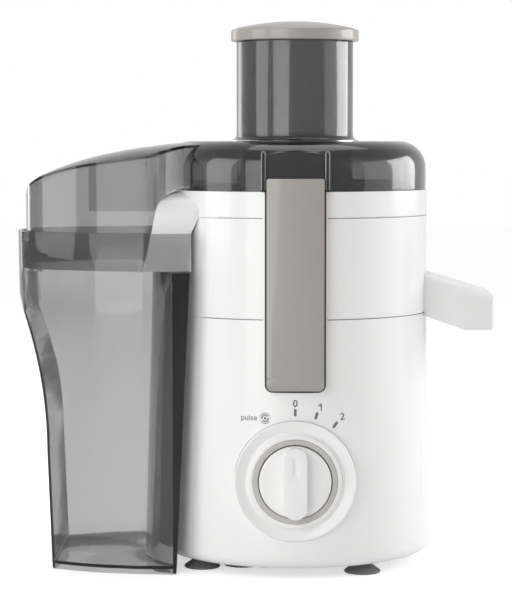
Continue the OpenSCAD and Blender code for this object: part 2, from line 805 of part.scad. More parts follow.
module latch_arm(side) {
    inner_w = arm_w - 2 * arm_wall;
    from_axis() color(warm_grey) rotate([0, 0, side > 0 ? 180 : 0]) difference() {
        union() {
            intersection() {
                difference() {
                    translate([0, 0, pivot_z]) cylinder(arm_top_z - pivot_z, r = arm_r, $fn = 180);
                    translate([0, 0, pivot_z - 1])
                        cylinder(arm_top_z - pivot_z + 2, r = arm_in_r, $fn = 180);
                }
                translate([0, -far / 2, 0]) along_y(far / 2)
                    rounded_slab(arm_w, arm_low_z, arm_top_z, 1.5);
            }
            // rounded lower end, turned about the pin
            intersection() {
                translate([0, -pivot_r, pivot_z]) rotate([0, 90, 0])
                    cylinder(arm_w, r = arm_r - pivot_r, center = true, $fn = 96);
                translate([0, -far / 2, 0]) along_y(far / 2)
                    rounded_slab(arm_w, arm_low_z, arm_top_z, 4);
            }
            // hook over the lid's ledge
            intersection() {
                translate([-arm_w / 2 + 1.5, -arm_r + 1, ledge_z + seat])
                    cube([arm_w - 3, arm_r - 1 - hook_y, arm_top_z - ledge_z - seat - 1]);
                translate([0, 0, pivot_z]) cylinder(far, r = arm_r - 1, $fn = 180);
            }
        }
        // hollow back, where the ears stand; the lower end wall stops under the pin
        intersection() {
            translate([0, 0, arm_low_z + 1.6]) cylinder(ledge_z - arm_low_z - 6,
                r = arm_r - arm_wall, $fn = 180);
            translate([-inner_w / 2, -far, arm_low_z]) cube([inner_w, far, far]);
        }
        translate([-inner_w / 2, -pivot_r, arm_low_z - 1]) cube([inner_w, far, 4]);
        // room for the ears
        translate([0, -pivot_r, pivot_z]) rotate([0, 90, 0])
            cylinder(inner_w, r = ear_r + seat, center = true, $fn = 64);
        translate([0, -pivot_r, pivot_z]) rotate([0, 90, 0])
            cylinder(arm_w + 2, r = pin_r + run_fit, center = true, $fn = 48);
    }
}

module latch_arm_front() latch_arm(-1);
module latch_arm_rear() latch_arm(1);

module latch_pin(side) {
    from_axis() color(steel) translate([0, side * pivot_r, pivot_z]) rotate([0, 90, 0])
        cylinder(arm_w - 1, r = pin_r, center = true, $fn = 48);
}

module latch_pin_front() latch_pin(-1);
module latch_pin_rear() latch_pin(1);

// ---- pusher ----

pusher_r = tube_r - tube_wall - pusher_gap;
pusher_low_z = tube_low_z + 4;
pusher_wall = 2;
cap_groove = 2;

module pusher_tube() {
    from_axis() color(smoke) difference() {
        translate([0, 0, pusher_low_z])
            cylinder(tube_top + cap_groove - seat - pusher_low_z, r = pusher_r, $fn = 128);
        translate([0, 0, pusher_low_z + 3])
            cylinder(tube_top - pusher_low_z, r = pusher_r - pusher_wall, $fn = 128);
    }
}

module pusher_cap() {
    rim_z = tube_top + 0.05;
    plug_r = pusher_r - pusher_wall - 0.2;
    edge = 1.6;
    dome_r = (pow(cap_r, 2) + pow(cap_dome, 2)) / (2 * cap_dome);
    dome_a = asin(cap_r / dome_r);
    shoulder_z = rim_z + cap_h - edge;
    from_axis() color(warm_grey) rotate_extrude($fn = 128) polygon(concat(
        [[0, rim_z], [plug_r, rim_z], [plug_r, rim_z + cap_groove],
         [pusher_r + 0.2, rim_z + cap_groove], [pusher_r + 0.2, rim_z]],
        arc(cap_r - 1, rim_z + 1, 1, -90, 0, 4), arc(cap_r - edge, shoulder_z, edge, 0, 60, 4),
        [for (i = [9:-1:0]) let(a = dome_a * i / 10)
            [dome_r * sin(a), shoulder_z + edge + cap_dome - dome_r * (1 - cos(a))]]));
}

// ---- pulp container ----

foot_ring = 3.4;
grip_foot = 3.3;
grip_x = -(container_reach - grip_depth);
edge_low_x = 78;
edge_top_x = 67.5;
hollow_top_z = hood_low - 1;

// Side view of the container, drawn in by t: its end wall bends in to form the grip
module container_side(t) {
    right = t > 0 ? 20 : 0;
    difference() {
        polygon([[-edge_low_x + right, -1], [-container_reach - 20, -1],
            [-container_reach - 20, container_h + 1], [-edge_top_x + right, container_h + 1]]);
        translate([grip_x + t - grip_r, grip_z]) circle(grip_r, $fn = 360);
        // straight from the grip down to the table
        polygon([[grip_x + t, grip_z], [grip_x + grip_foot + t, -2],
            [-far, -2], [-far, grip_z]]);
    }
}

module heel_cone(t, top_z) {
    low_r = housing_r + heel_gap + 6.5;
    rim_r = housing_r + heel_gap;
    function r_at(z) = low_r + (rim_r - low_r) * z / container_h;
    translate([0, 0, -1]) cylinder(top_z + 1, r_at(-1) + t, r_at(top_z) + t, $fn = 180);
}

module pulp_container() {
    floor_t = container_wall + foot_ring;
    from_axis() color(smoke) difference() {
        intersection() {
            plan_solid(0, 0, container_h, container_draft);
            plan_end(0, 0, container_h, container_draft);
            along_y() container_side(0);
        }
        heel_cone(0, container_h + 1);
        intersection() {
            plan_solid(container_wall, floor_t, container_h + 1, container_draft);
            plan_end(container_wall, floor_t, container_h + 1, container_draft);
            along_y() container_side(container_wall);
            difference() {
                translate([-far, -far / 2, 0]) cube([far - edge_low_x - container_wall, far, far]);
                heel_cone(container_wall, container_h + 2);
            }
        }
        // open side under the hood
        intersection() {
            plan_solid(container_wall, hollow_top_z, container_h + 1, container_draft);
            translate([-far / 2, -far / 2, hollow_top_z]) cube([far / 2, far, far]);
            along_y() container_side(container_wall);
            plan_end(container_wall, hollow_top_z, container_h + 1, container_draft);
        }
        // hollow under the floor, inside the ring that stands on the table
        intersection() {
            plan_solid(container_wall, -1, foot_ring, container_draft);
            plan_end(container_wall, -1, foot_ring, container_draft);
            along_y() container_side(container_wall);
            difference() {
                translate([-far, -far / 2, -1]) cube([far - edge_low_x - container_wall, far, far]);
                heel_cone(container_wall, container_h);
            }
        }
    }
}

// ---- dial and controls ----

bezel_front = foot_edge_r + 0.6;
bezel_floor = socket_y + 4.5;
ring_front = bezel_front + 1.2;
knob_back = bezel_floor + 2;
disc_front = bezel_front + 3.4;

module dial_bezel() {
    from_axis() color(white) about_dial() polygon([
        [bush_r + 2.6, socket_y], [bezel_r, socket_y], [bezel_r, bezel_front - 0.6],
        [bezel_r - 0.6, bezel_front], [bezel_r - 2, bezel_front - 0.3],
        [bezel_r - 5, bezel_front - 1.6], [bezel_r - 7, bezel_front - 2],
        [ring_r + 3.6, bezel_front - 1.4], [ring_r + 2.6, bezel_front + 0.4],
        [ring_r + 1.4, bezel_front + 0.8], [ring_r + 0.1, bezel_front + 0.6],
        [ring_r + 0.1, bezel_floor], [bush_r + 2.6, bezel_floor]]);
}

module dial_ring() {
    from_axis() color(ring_grey) about_dial() polygon([
        [knob_r + 0.6, bezel_floor], [ring_r, bezel_floor], [ring_r, ring_front - 0.5],
        [ring_r - 0.5, ring_front], [knob_r + 1.1, ring_front], [knob_r + 0.6, ring_front - 0.5]]);
}

module dial_knob() {
    hub_out = dial_shaft_r + 2.2;
    from_axis() color(white) difference() {
        union() {
            about_dial() polygon([
                [0, knob_back + 4], [hub_out, knob_back + 4], [hub_out, knob_back],
                [knob_r, knob_back], [knob_r, disc_front - 1],
                [knob_r - 1, disc_front], [0, disc_front]]);
            // grip bar with round ends
            translate([0, 0, dial_z]) intersection() {
                translate([0, -knob_back - 2, 0]) rotate([90, 0, 0])
                    linear_extrude(knob_front - knob_back - 2)
                        rounded_bar(grip_w, 2 * knob_r - 0.8);
                rotate([90, 0, 0]) cylinder(far, r = knob_r - 0.2, $fn = 96);
            }
        }
        // pointer groove near the top of the grip
        translate([0, -knob_front + 0.8, dial_z + knob_r * 0.48]) rotate([90, 0, 0])
            linear_extrude(2) rounded_bar(3, 10);
        about_dial() translate([0, knob_back - 1]) square([dial_shaft_r, 7]);
    }
}

module rounded_bar(w, l) {
    square([w, l - w], center = true);
    for (s = [-1, 1]) translate([0, s * (l - w) / 2]) circle(w / 2, $fn = 64);
}

switch_back = socket_y - socket_wall - 24;

module dial_shaft() {
    from_axis() color(steel) about_dial() translate([0, switch_back + 6])
        square([dial_shaft_r, knob_back + 6 - switch_back - 6]);
}

module speed_switch() {
    box = 30;
    body_y = socket_y - socket_wall;
    from_axis() color(black_plastic) difference() {
        union() {
            translate([-box / 2, -body_y, dial_z - box / 2]) cube([box, body_y - switch_back, box]);
            about_dial() translate([0, body_y - 1]) square([bush_r, 8]);
            // terminals
            for (x = [-9, 0, 9], z = [-8, 8])
                translate([x - 2.4, -switch_back - 1, dial_z + z - 0.4]) cube([4.8, 9, 0.8]);
        }
        about_dial() translate([0, switch_back + 5.5]) square([dial_shaft_r + run_fit, 40]);
    }
}

module switch_nut() {
    nut_r = bush_r + 2.2;
    from_axis() color(steel) translate([0, -socket_y, dial_z]) rotate([90, 0, 0])
        difference() {
            cylinder(3, r = nut_r, $fn = 6);
            translate([0, 0, -1]) cylinder(5, r = bush_r, $fn = 48);
        }
}

module safety_switch() {
    from_axis() color(black_plastic) translate([-10, -slot_r + housing_wall + 10, deck_z - 16]) {
        cube([20, 6.5, 16]);
        translate([3, 1.5, -3]) cube([3, 3, 4]);
        translate([14, 1.5, -3]) cube([3, 3, 4]);
    }
}

module cord_gland() {
    wall_y = housing_r_at(gland_z);
    from_axis() color(black_plastic) translate([0, wall_y, gland_z]) rotate([90, 0, 0])
        rotate_extrude($fn = 64) polygon([
            [3.6, -2.6], [8, -2.6], [8, -0.6], [gland_r - 0.1, -0.6], [gland_r - 0.1, 5], [3.6, 5]]);
}

// ---- motor ----

bearing_r = 11;
bearing_h = 7;
lower_z = 24;
commutator_z = 42;
commutator_r = 13;
core_z = 64;
upper_z = 110;
fan_z = 127;
stator_bore = rotor_r + 0.8;
bracket_t = 3;
bolt_r = 2.2;
bolt_at = 30;

module stator_core() {
    window_r = stator_half - 8;
    from_axis() color(dark_steel) translate([0, 0, core_z]) difference() {
        intersection() {
            translate([-stator_half, -stator_half, 0]) cube([2 * stator_half, 2 * stator_half, rotor_h]);
            cylinder(rotor_h, r = stator_half + 7, $fn = 128);
        }
        translate([0, 0, -1]) cylinder(rotor_h + 2, r = stator_bore, $fn = 128);
        // winding windows beside the two poles
        for (x = [-1, 1]) intersection() {
            translate([0, 0, -1]) difference() {
                cylinder(rotor_h + 2, r = window_r, $fn = 128);
                translate([0, 0, -1]) cylinder(rotor_h + 4, r = stator_bore - 1, $fn = 128);
            }
            translate([x > 0 ? 12 : -far - 12, -16, -2]) cube([far, 32, rotor_h + 4]);
        }
        for (x = [-1, 1], y = [-1, 1]) translate([x * bolt_at, y * bolt_at, -1])
            cylinder(rotor_h + 2, r = bolt_r, $fn = 32);
    }
}

module field_coils() {
    out_r = stator_half - 8.4;
    end_h = 5;
    from_axis() color(copper) for (y = [-1, 1]) intersection() {
        translate([0, 0, core_z - end_h]) difference() {
            cylinder(rotor_h + 2 * end_h, r = out_r, $fn = 128);
            translate([0, 0, -1]) cylinder(rotor_h + 2 * end_h + 2, r = out_r - 6, $fn = 128);
        }
        translate([-far / 2, y > 0 ? 0.6 : -far - 0.6, 0]) cube(far);
        // the long sides lie in the core's windows, the ends wrap round above and below it
        union() {
            translate([-far / 2, -15.6, 0]) cube([far, 31.2, far]);
            translate([-far / 2, -far / 2, core_z - far - 0.2]) cube(far);
            translate([-far / 2, -far / 2, core_z + rotor_h + 0.2]) cube(far);
        }
    }
}

// A cast bracket across the motor, with a pocket for the bearing
module bracket(z, up) {
    arm = bolt_at + 6;
    cup_h = bearing_h + 2;
    difference() {
        union() {
            for (a = [45, 135]) rotate([0, 0, a])
                translate([-arm * sqrt(2) + 2, -8, z]) cube([2 * arm * sqrt(2) - 4, 16, bracket_t]);
            translate([0, 0, z]) cylinder(bracket_t, r = 24, $fn = 96);
            translate([0, 0, up > 0 ? z : z + bracket_t - cup_h])
                cylinder(cup_h, r = bearing_r + 2.5, $fn = 96);
        }
        translate([0, 0, up > 0 ? z + cup_h - bearing_h : z + bracket_t - cup_h - 1])
            cylinder(bearing_h + 1, r = bearing_r + 0.02, $fn = 96);
        translate([0, 0, z - 20]) cylinder(60, r = shaft_r + 2, $fn = 64);
        for (x = [-1, 1], y = [-1, 1]) translate([x * bolt_at, y * bolt_at, z - 1])
            cylinder(bracket_t + 2, r = bolt_r, $fn = 32);
    }
}

post_r = 4.5;

module upper_bracket() {
    from_axis() color(dark_steel) {
        difference() {
            union() {
                bracket(upper_z, 1);
                for (x = [-1, 1], y = [-1, 1]) {
                    translate([x * boss_at, y * boss_at, upper_z]) cylinder(bracket_t + 4, r = 7, $fn = 48);
                    translate([x * bolt_at, y * bolt_at, core_z + rotor_h])
                        cylinder(upper_z - core_z - rotor_h, r = post_r, $fn = 48);
                }
            }
            for (x = [-1, 1], y = [-1, 1]) {
                translate([x * boss_at, y * boss_at, upper_z - 1])
                    cylinder(bracket_t + 6, r = screw_r + 0.4, $fn = 32);
                translate([x * bolt_at, y * bolt_at, core_z])
                    cylinder(upper_z, r = bolt_r, $fn = 32);
            }
        }
    }
}

module lower_bracket() {
    from_axis() color(dark_steel) difference() {
        union() {
            bracket(lower_z + 9, -1);
            for (x = [-1, 1], y = [-1, 1]) translate([x * bolt_at, y * bolt_at, lower_z + 9 + bracket_t])
                cylinder(core_z - lower_z - 9 - bracket_t, r = post_r, $fn = 48);
        }
        for (x = [-1, 1], y = [-1, 1]) translate([x * bolt_at, y * bolt_at, 0])
            cylinder(core_z + 10, r = bolt_r, $fn = 32);
    }
}

module bearing(z) {
    race = 2.2;
    from_axis() color(steel) translate([0, 0, z]) rotate_extrude($fn = 96) polygon([
        [shaft_r + run_fit, 0], [shaft_r + race, 0], [shaft_r + race, 0.6],
        [bearing_r - race, 0.6], [bearing_r - race, 0], [bearing_r, 0],
        [bearing_r, bearing_h], [bearing_r - race, bearing_h], [bearing_r - race, bearing_h - 0.6],
        [shaft_r + race, bearing_h - 0.6], [shaft_r + race, bearing_h],
        [shaft_r + run_fit, bearing_h]]);
}

module upper_bearing() bearing(upper_z + 2);
module lower_bearing() bearing(lower_z + 9 + bracket_t - bearing_h - 2);

// Brush holders stand on the lower bracket
module brush_holder(x) {
    z0 = lower_z + 9 + bracket_t;
    from_axis() color(black_plastic) difference() {
        union() {
            translate([x > 0 ? commutator_r + 3 : -commutator_r - 19, -5, commutator_z + 2])
                cube([16, 10, 10]);
            translate([x > 0 ? commutator_r + 4 : -commutator_r - 10, -5, z0])
                cube([6, 10, commutator_z + 2 - z0 + eps]);
        }
        translate([x > 0 ? commutator_r : -commutator_r - 30, -3.1, commutator_z + 3.9])
            cube([30, 6.2, 6.2]);
    }
}

module brush_holder_left() brush_holder(-1);
module brush_holder_right() brush_holder(1);

module carbon_brushes() {
    from_axis() color([0.12, 0.12, 0.12]) for (x = [-1, 1])
        translate([x > 0 ? commutator_r + 0.3 : -commutator_r - 14.3, -3, commutator_z + 4])
            cube([14, 6, 6]);
}

module motor_screws() {
    from_axis() color(steel) for (x = [-1, 1], y = [-1, 1]) {
        translate([x * bolt_at, y * bolt_at, lower_z + 9]) {
            cylinder(upper_z + bracket_t - lower_z - 9, r = bolt_r, $fn = 32);
            translate([0, 0, -3]) cylinder(3, r = 4, $fn = 32);
        }
        translate([x * boss_at, y * boss_at, upper_z]) screw(24, 3.4, 2);
    }
}

module rubber_mounts() {
    from_axis() color(rubber) for (x = [-1, 1], y = [-1, 1])
        translate([x * boss_at, y * boss_at, upper_z + bracket_t + 4]) difference() {
            cylinder(boss_low_z - upper_z - bracket_t - 4, r = 7, $fn = 48);
            translate([0, 0, -1]) cylinder(20, r = screw_r + 0.4, $fn = 32);
        }
}

module shaft_seal() {
    from_axis() color(rubber) translate([0, 0, deck_z]) rotate_extrude($fn = 64) polygon([
        [shaft_r + 0.4, 0], [seal_r, 0], [seal_r, deck_t], [shaft_r + 3, deck_t],
        [shaft_r + 3, deck_t + 2], [shaft_r + 0.4, deck_t + 2]]);
}

// ---- rotating parts ----

coupler_h = 15;
rim_z = guide_top + basket_over;
shaft_low_z = lower_z;
teeth_n = 6;

module motor_shaft() {
    from_axis() color(steel) translate([0, 0, shaft_low_z])
        cylinder(coupler_z + coupler_h - 2 - shaft_low_z, r = shaft_r, $fn = 64);
}

slots_n = 12;
slot_at = rotor_r - 5;

module rotor_core() {
    from_axis() color(dark_steel) translate([0, 0, core_z]) difference() {
        cylinder(rotor_h, r = rotor_r, $fn = 128);
        translate([0, 0, -1]) cylinder(rotor_h + 2, r = shaft_r, $fn = 64);
        for (i = [0:slots_n - 1]) rotate([0, 0, i * 360 / slots_n]) {
            translate([slot_at, 0, -1]) cylinder(rotor_h + 2, r = 3, $fn = 32);
            translate([slot_at, -0.9, -1]) cube([10, 1.8, rotor_h + 2]);
        }
    }
}

module rotor_windings() {
    end_h = 5;
    from_axis() color(copper) union() {
        for (z = [core_z - end_h, core_z + rotor_h]) translate([0, 0, z]) difference() {
            cylinder(end_h, r = slot_at + 3.2, $fn = 96);
            translate([0, 0, -1]) cylinder(end_h + 2, r = shaft_r + 5, $fn = 64);
        }
        for (i = [0:slots_n - 1]) rotate([0, 0, i * 360 / slots_n])
            translate([slot_at, 0, core_z - eps]) cylinder(rotor_h + 2 * eps, r = 2.6, $fn = 32);
    }
}

module commutator() {
    bars = 24;
    from_axis() color(copper) translate([0, 0, commutator_z]) difference() {
        cylinder(14, r = commutator_r, $fn = 96);
        translate([0, 0, -1]) cylinder(16, r = shaft_r, $fn = 64);
        for (i = [0:bars - 1]) rotate([0, 0, i * 360 / bars])
            translate([commutator_r - 1.2, -0.25, -1]) cube([3, 0.5, 16]);
    }
}

module cooling_fan() {
    blades = 9;
    from_axis() color(black_plastic) translate([0, 0, fan_z]) difference() {
        union() {
            cylinder(2, r = fan_r, $fn = 128);
            cylinder(11, r = shaft_r + 5, $fn = 64);
            for (i = [0:blades - 1]) rotate([0, 0, i * 360 / blades])
                translate([shaft_r + 3, 0, 1]) rotate([0, 0, 14])
                    cube([fan_r - shaft_r - 5, 1.6, 10]);
        }
        translate([0, 0, -1]) cylinder(14, r = shaft_r, $fn = 64);
    }
}

module coupler_outline(grow) {
    circle(coupler_r - 3 + grow, $fn = 96);
    for (i = [0:teeth_n - 1]) rotate(i * 360 / teeth_n)
        translate([0, -2 - grow]) square([coupler_r + grow, 4 + 2 * grow]);
}

module drive_coupler() {
    from_axis() color(black_plastic) translate([0, 0, coupler_z]) difference() {
        linear_extrude(coupler_h) coupler_outline(0);
        translate([0, 0, -1]) cylinder(coupler_h - 1, r = shaft_r, $fn = 64);
    }
}

frame_low_z = grater_z - 4;
mesh_low_z = grater_z + 3.2;
mesh_high_z = rim_z - 9.4;
mesh_low_r = basket_low_r + 0.9;
mesh_high_r = basket_r - 3.8;
function mesh_r(z) = mesh_low_r
    + (mesh_high_r - mesh_low_r) * (z - mesh_low_z) / (mesh_high_z - mesh_low_z);
skirt_r = hub_r + 2.2 + 2;

module basket_frame() {
    from_axis() color(smoke) difference() {
        union() {
            // hub with its socket, floor, and the skirt outside the bowl's collar
            translate([0, 0, coupler_z + 2]) cylinder(frame_low_z - coupler_z, r = coupler_r + 3, $fn = 96);
            rotate_extrude($fn = 128) polygon([
                [0, frame_low_z], [basket_low_r + 1.5, frame_low_z], [basket_low_r + 3, grater_z],
                [basket_low_r + 3, grater_z + 3], [basket_low_r + 1, grater_z + 3],
                [basket_low_r, grater_z], [0, grater_z]]);
            translate([0, 0, floor_z + 4]) difference() {
                cylinder(frame_low_z - floor_z - 4 + eps, r = skirt_r + 2, $fn = 96);
                translate([0, 0, -1]) cylinder(40, r = skirt_r, $fn = 96);
            }
            // rim
            rotate_extrude($fn = 128) polygon([
                [basket_r - 3.4, rim_z - 9], [basket_r - 0.6, rim_z - 9], [basket_r, rim_z - 4],
                [basket_r, rim_z], [basket_r - 1.6, rim_z], [basket_r - 1.6, rim_z - 5]]);
            // ribs that carry the mesh
            for (i = [0:basket_ribs - 1]) rotate([0, 0, i * 360 / basket_ribs])
                rotate([90, 0, 0]) linear_extrude(2, center = true) polygon([
                    [mesh_r(grater_z + 1) + seat, grater_z + 1], [basket_low_r + 3, grater_z + 1],
                    [basket_r - 0.7, rim_z - 7], [mesh_r(rim_z - 7) + seat, rim_z - 7]]);
        }
        translate([0, 0, coupler_z + 1]) linear_extrude(coupler_h - 1 + seat) coupler_outline(seat);
    }
}

mesh_t = 0.8;

module filter_mesh() {
    from_axis() color(steel) rotate_extrude($fn = 128) polygon([
        [mesh_low_r - mesh_t, mesh_low_z], [mesh_low_r, mesh_low_z],
        [mesh_high_r, mesh_high_z], [mesh_high_r - mesh_t, mesh_high_z]]);
}

module grater_disc() {
    disc_r = basket_low_r - 0.8;
    disc_t = 1.2;
    tooth_h = 1.8;
    from_axis() color(steel) translate([0, 0, grater_z]) union() {
        cylinder(disc_t, r = disc_r, $fn = 128);
        // rows of cutting teeth that curve back from the middle
        for (row = [0:tooth_rows - 1], k = [0:4])
            rotate([0, 0, row * 360 / tooth_rows + k * 7]) translate([10 + k * 7.5, 0, disc_t - eps])
                rotate([0, 0, 65]) tooth(tooth_h);
    }
}

// A wedge punched up from the disc: steep cutting face, sloping back
module tooth(h) {
    rotate([90, 0, 0]) linear_extrude(1.6, center = true)
        polygon([[-1.6, 0], [1.6, 0], [1.3, h]]);
}

motor_housing();
base_plate();
base_screws();
foot_front_right();
foot_front_left();
foot_rear_right();
foot_rear_left();
foot_right();
foot_inner();
juice_bowl();
spout();
pulp_guide();
lid();
feed_tube();
latch_arm_front();
latch_arm_rear();
latch_pin_front();
latch_pin_rear();
pusher_tube();
pusher_cap();
pulp_container();
dial_bezel();
dial_ring();
dial_knob();
dial_shaft();
speed_switch();
switch_nut();
safety_switch();
cord_gland();
stator_core();
field_coils();
upper_bracket();
lower_bracket();
upper_bearing();
lower_bearing();
brush_holder_left();
brush_holder_right();
carbon_brushes();
motor_screws();
rubber_mounts();
shaft_seal();
motor_shaft();
rotor_core();
rotor_windings();
commutator();
cooling_fan();
drive_coupler();
basket_frame();
filter_mesh();
grater_disc();
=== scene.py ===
# Centrifugal juicer: finishes, printed marks, fine parts, lights and camera
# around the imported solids. Lengths are in metres.
import json
import math

import bmesh
import bpy
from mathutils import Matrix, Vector


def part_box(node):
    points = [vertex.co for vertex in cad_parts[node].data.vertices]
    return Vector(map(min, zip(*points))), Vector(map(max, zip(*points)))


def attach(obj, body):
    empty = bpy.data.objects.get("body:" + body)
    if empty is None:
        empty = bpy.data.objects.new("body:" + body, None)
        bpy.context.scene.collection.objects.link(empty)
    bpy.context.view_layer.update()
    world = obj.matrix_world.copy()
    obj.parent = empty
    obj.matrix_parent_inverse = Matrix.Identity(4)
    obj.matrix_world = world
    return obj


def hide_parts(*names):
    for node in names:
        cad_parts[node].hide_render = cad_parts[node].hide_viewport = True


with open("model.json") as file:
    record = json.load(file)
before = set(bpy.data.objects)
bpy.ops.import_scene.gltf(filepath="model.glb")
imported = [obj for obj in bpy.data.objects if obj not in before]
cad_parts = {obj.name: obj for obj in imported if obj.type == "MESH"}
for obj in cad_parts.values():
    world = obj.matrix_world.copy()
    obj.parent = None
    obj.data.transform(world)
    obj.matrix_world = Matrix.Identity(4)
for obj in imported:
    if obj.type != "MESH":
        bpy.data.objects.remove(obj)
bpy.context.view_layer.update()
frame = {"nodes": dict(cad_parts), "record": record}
nodes = frame["nodes"]


def middle(name):
    low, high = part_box(name)
    return (low + high) / 2


axis = middle("motor_shaft")  # the drive axis, which most pieces turn about
print("frame loaded:", len(nodes), "solids")


def fromAxis(x, y, z):
    return Vector((axis.x + x, axis.y + y, z))


def newMaterial(name):
    mat = bpy.data.materials.new(name)
    mat.use_nodes = True
    tree = mat.node_tree
    return mat, tree, tree.nodes["Principled BSDF"]


def objectNoise(tree, scale, detail=2.0, stretch=None):
    coord = tree.nodes.new("ShaderNodeTexCoord")
    noise = tree.nodes.new("ShaderNodeTexNoise")
    noise.inputs["Scale"].default_value = scale
    noise.inputs["Detail"].default_value = detail
    out = coord.outputs["Object"]
    if stretch:
        mapping = tree.nodes.new("ShaderNodeMapping")
        mapping.inputs["Scale"].default_value = stretch
        tree.links.new(out, mapping.inputs["Vector"])
        out = mapping.outputs["Vector"]
    tree.links.new(out, noise.inputs["Vector"])
    return noise.outputs["Fac"]


noiseSpan = (0.3, 0.7)  # a noise's values between these are spread over the whole range


def valueRange(tree, value, low, high, inLow=noiseSpan[0], inHigh=noiseSpan[1]):
    span = tree.nodes.new("ShaderNodeMapRange")
    span.inputs["From Min"].default_value = inLow
    span.inputs["From Max"].default_value = inHigh
    span.inputs["To Min"].default_value = low
    span.inputs["To Max"].default_value = high
    tree.links.new(value, span.inputs["Value"])
    return span.outputs["Result"]


def twoTones(tree, value, first, second):
    ramp = tree.nodes.new("ShaderNodeValToRGB")
    for stop, position, tone in zip(ramp.color_ramp.elements, noiseSpan, (first, second)):
        stop.position = position
        stop.color = (*tone, 1)
    tree.links.new(value, ramp.inputs["Fac"])
    return ramp.outputs["Color"]


def addBump(tree, shader, height, strength, distance):
    bump = tree.nodes.new("ShaderNodeBump")
    bump.inputs["Strength"].default_value = strength
    bump.inputs["Distance"].default_value = distance
    tree.links.new(height, bump.inputs["Height"])
    tree.links.new(bump.outputs["Normal"], shader.inputs["Normal"])


glossyWhite = dict(
    tone=(0.9, 0.9, 0.893), toneShift=(0.885, 0.885, 0.878), cloudScale=9,
    roughness=(0.2, 0.27), sheenScale=35, coat=0.35, coatRoughness=0.08,
    ripple=0.00006, rippleScale=60, rippleStrength=0.12)


def makeMouldedWhite():
    mat, tree, shader = newMaterial("mouldedWhite")
    cloud = objectNoise(tree, glossyWhite["cloudScale"])
    tree.links.new(twoTones(tree, cloud, glossyWhite["tone"], glossyWhite["toneShift"]),
                   shader.inputs["Base Color"])
    sheen = objectNoise(tree, glossyWhite["sheenScale"])
    tree.links.new(valueRange(tree, sheen, *glossyWhite["roughness"]), shader.inputs["Roughness"])
    shader.inputs["Coat Weight"].default_value = glossyWhite["coat"]
    shader.inputs["Coat Roughness"].default_value = glossyWhite["coatRoughness"]
    ripples = objectNoise(tree, glossyWhite["rippleScale"])
    addBump(tree, shader, ripples, glossyWhite["rippleStrength"], glossyWhite["ripple"])
    return mat


smokeClear = dict(
    tint=(0.93, 0.93, 0.93), roughness=(0.018, 0.048), sheenScale=25, ior=1.45,
    density=125.0, absorbs=(0.03, 0.035, 0.04), coatRoughness=0.22,
    ripple=0.00004, rippleScale=18, rippleStrength=0.15)
# Painted shade on the lid: its tones and where they change.
lidPaintedShade = dict(
    pale=(0.9, 0.9, 0.9), deep=(0.5, 0.5, 0.5), roof=(0.16, 0.16, 0.16), skirt=(0.5, 0.5, 0.5),
    fromX=-0.056, toX=-0.04, fromSlope=0.2, toSlope=0.6, skirtZ=0.224, skirtBlend=0.0005)
# Painted shade on the container: its tones and where they change.
containerPaintedShade = dict(
    pale=(0.9, 0.9, 0.9), outer=(0.15, 0.15, 0.15), inner=(0.55, 0.55, 0.55),
    fromX=-0.12, toX=-0.09, fromSlope=0.72, toSlope=0.97)


def axisOf(tree, vector, name):
    split = tree.nodes.new("ShaderNodeSeparateXYZ")
    tree.links.new(vector, split.inputs[0])
    return split.outputs[name]


# How far a face looks along one axis, from 0 to 1, whichever way it points: the mask for painted shade
# on the lid and the container.
def facing(tree, name, fromSlope, toSlope):
    slope = tree.nodes.new("ShaderNodeMath")
    slope.operation = "ABSOLUTE"
    normal = tree.nodes.new("ShaderNodeNewGeometry").outputs["Normal"]
    tree.links.new(axisOf(tree, normal, name), slope.inputs[0])
    return valueRange(tree, slope.outputs[0], 0, 1, fromSlope, toSlope)


def mixedColours(tree, share, first, second):
    mix = tree.nodes.new("ShaderNodeMix")
    mix.data_type = "RGBA"
    tree.links.new(share, mix.inputs["Factor"])
    for name, colour in (("A", first), ("B", second)):
        socket = next(i for i in mix.inputs if i.name == name and i.type == "RGBA")
        if isinstance(colour, tuple):
            socket.default_value = (*colour, 1)
        else:
            tree.links.new(colour, socket)
    return next(o for o in mix.outputs if o.type == "RGBA")


# Painted shade on the lid: its round part and its skirt are tinted deeper than the chute, and upper
# faces deepest.
def paintLidShade(tree):
    place = tree.nodes.new("ShaderNodeTexCoord").outputs["Object"]
    low, high = lidPaintedShade["skirtZ"] - lidPaintedShade["skirtBlend"], lidPaintedShade["skirtZ"] + lidPaintedShade["skirtBlend"]
    above = valueRange(tree, axisOf(tree, place, "Z"), 0, 1, low, high)
    chute = mixedColours(tree, above, lidPaintedShade["skirt"], lidPaintedShade["pale"])
    share = valueRange(tree, axisOf(tree, place, "X"), 0, 1, lidPaintedShade["fromX"], lidPaintedShade["toX"])
    body = mixedColours(tree, share, chute, lidPaintedShade["deep"])
    upper = facing(tree, "Z", lidPaintedShade["fromSlope"], lidPaintedShade["toSlope"])
    return mixedColours(tree, upper, body, lidPaintedShade["roof"])


# Painted shade on the container: its end walls are tinted deeper than its broad sides, the outer one
# deepest.
def paintContainerShade(tree):
    ends = facing(tree, "X", containerPaintedShade["fromSlope"], containerPaintedShade["toSlope"])
    place = axisOf(tree, tree.nodes.new("ShaderNodeTexCoord").outputs["Object"], "X")
    share = valueRange(tree, place, 0, 1, containerPaintedShade["fromX"], containerPaintedShade["toX"])
    side = mixedColours(tree, share, containerPaintedShade["outer"], containerPaintedShade["inner"])
    return mixedColours(tree, ends, containerPaintedShade["pale"], side)


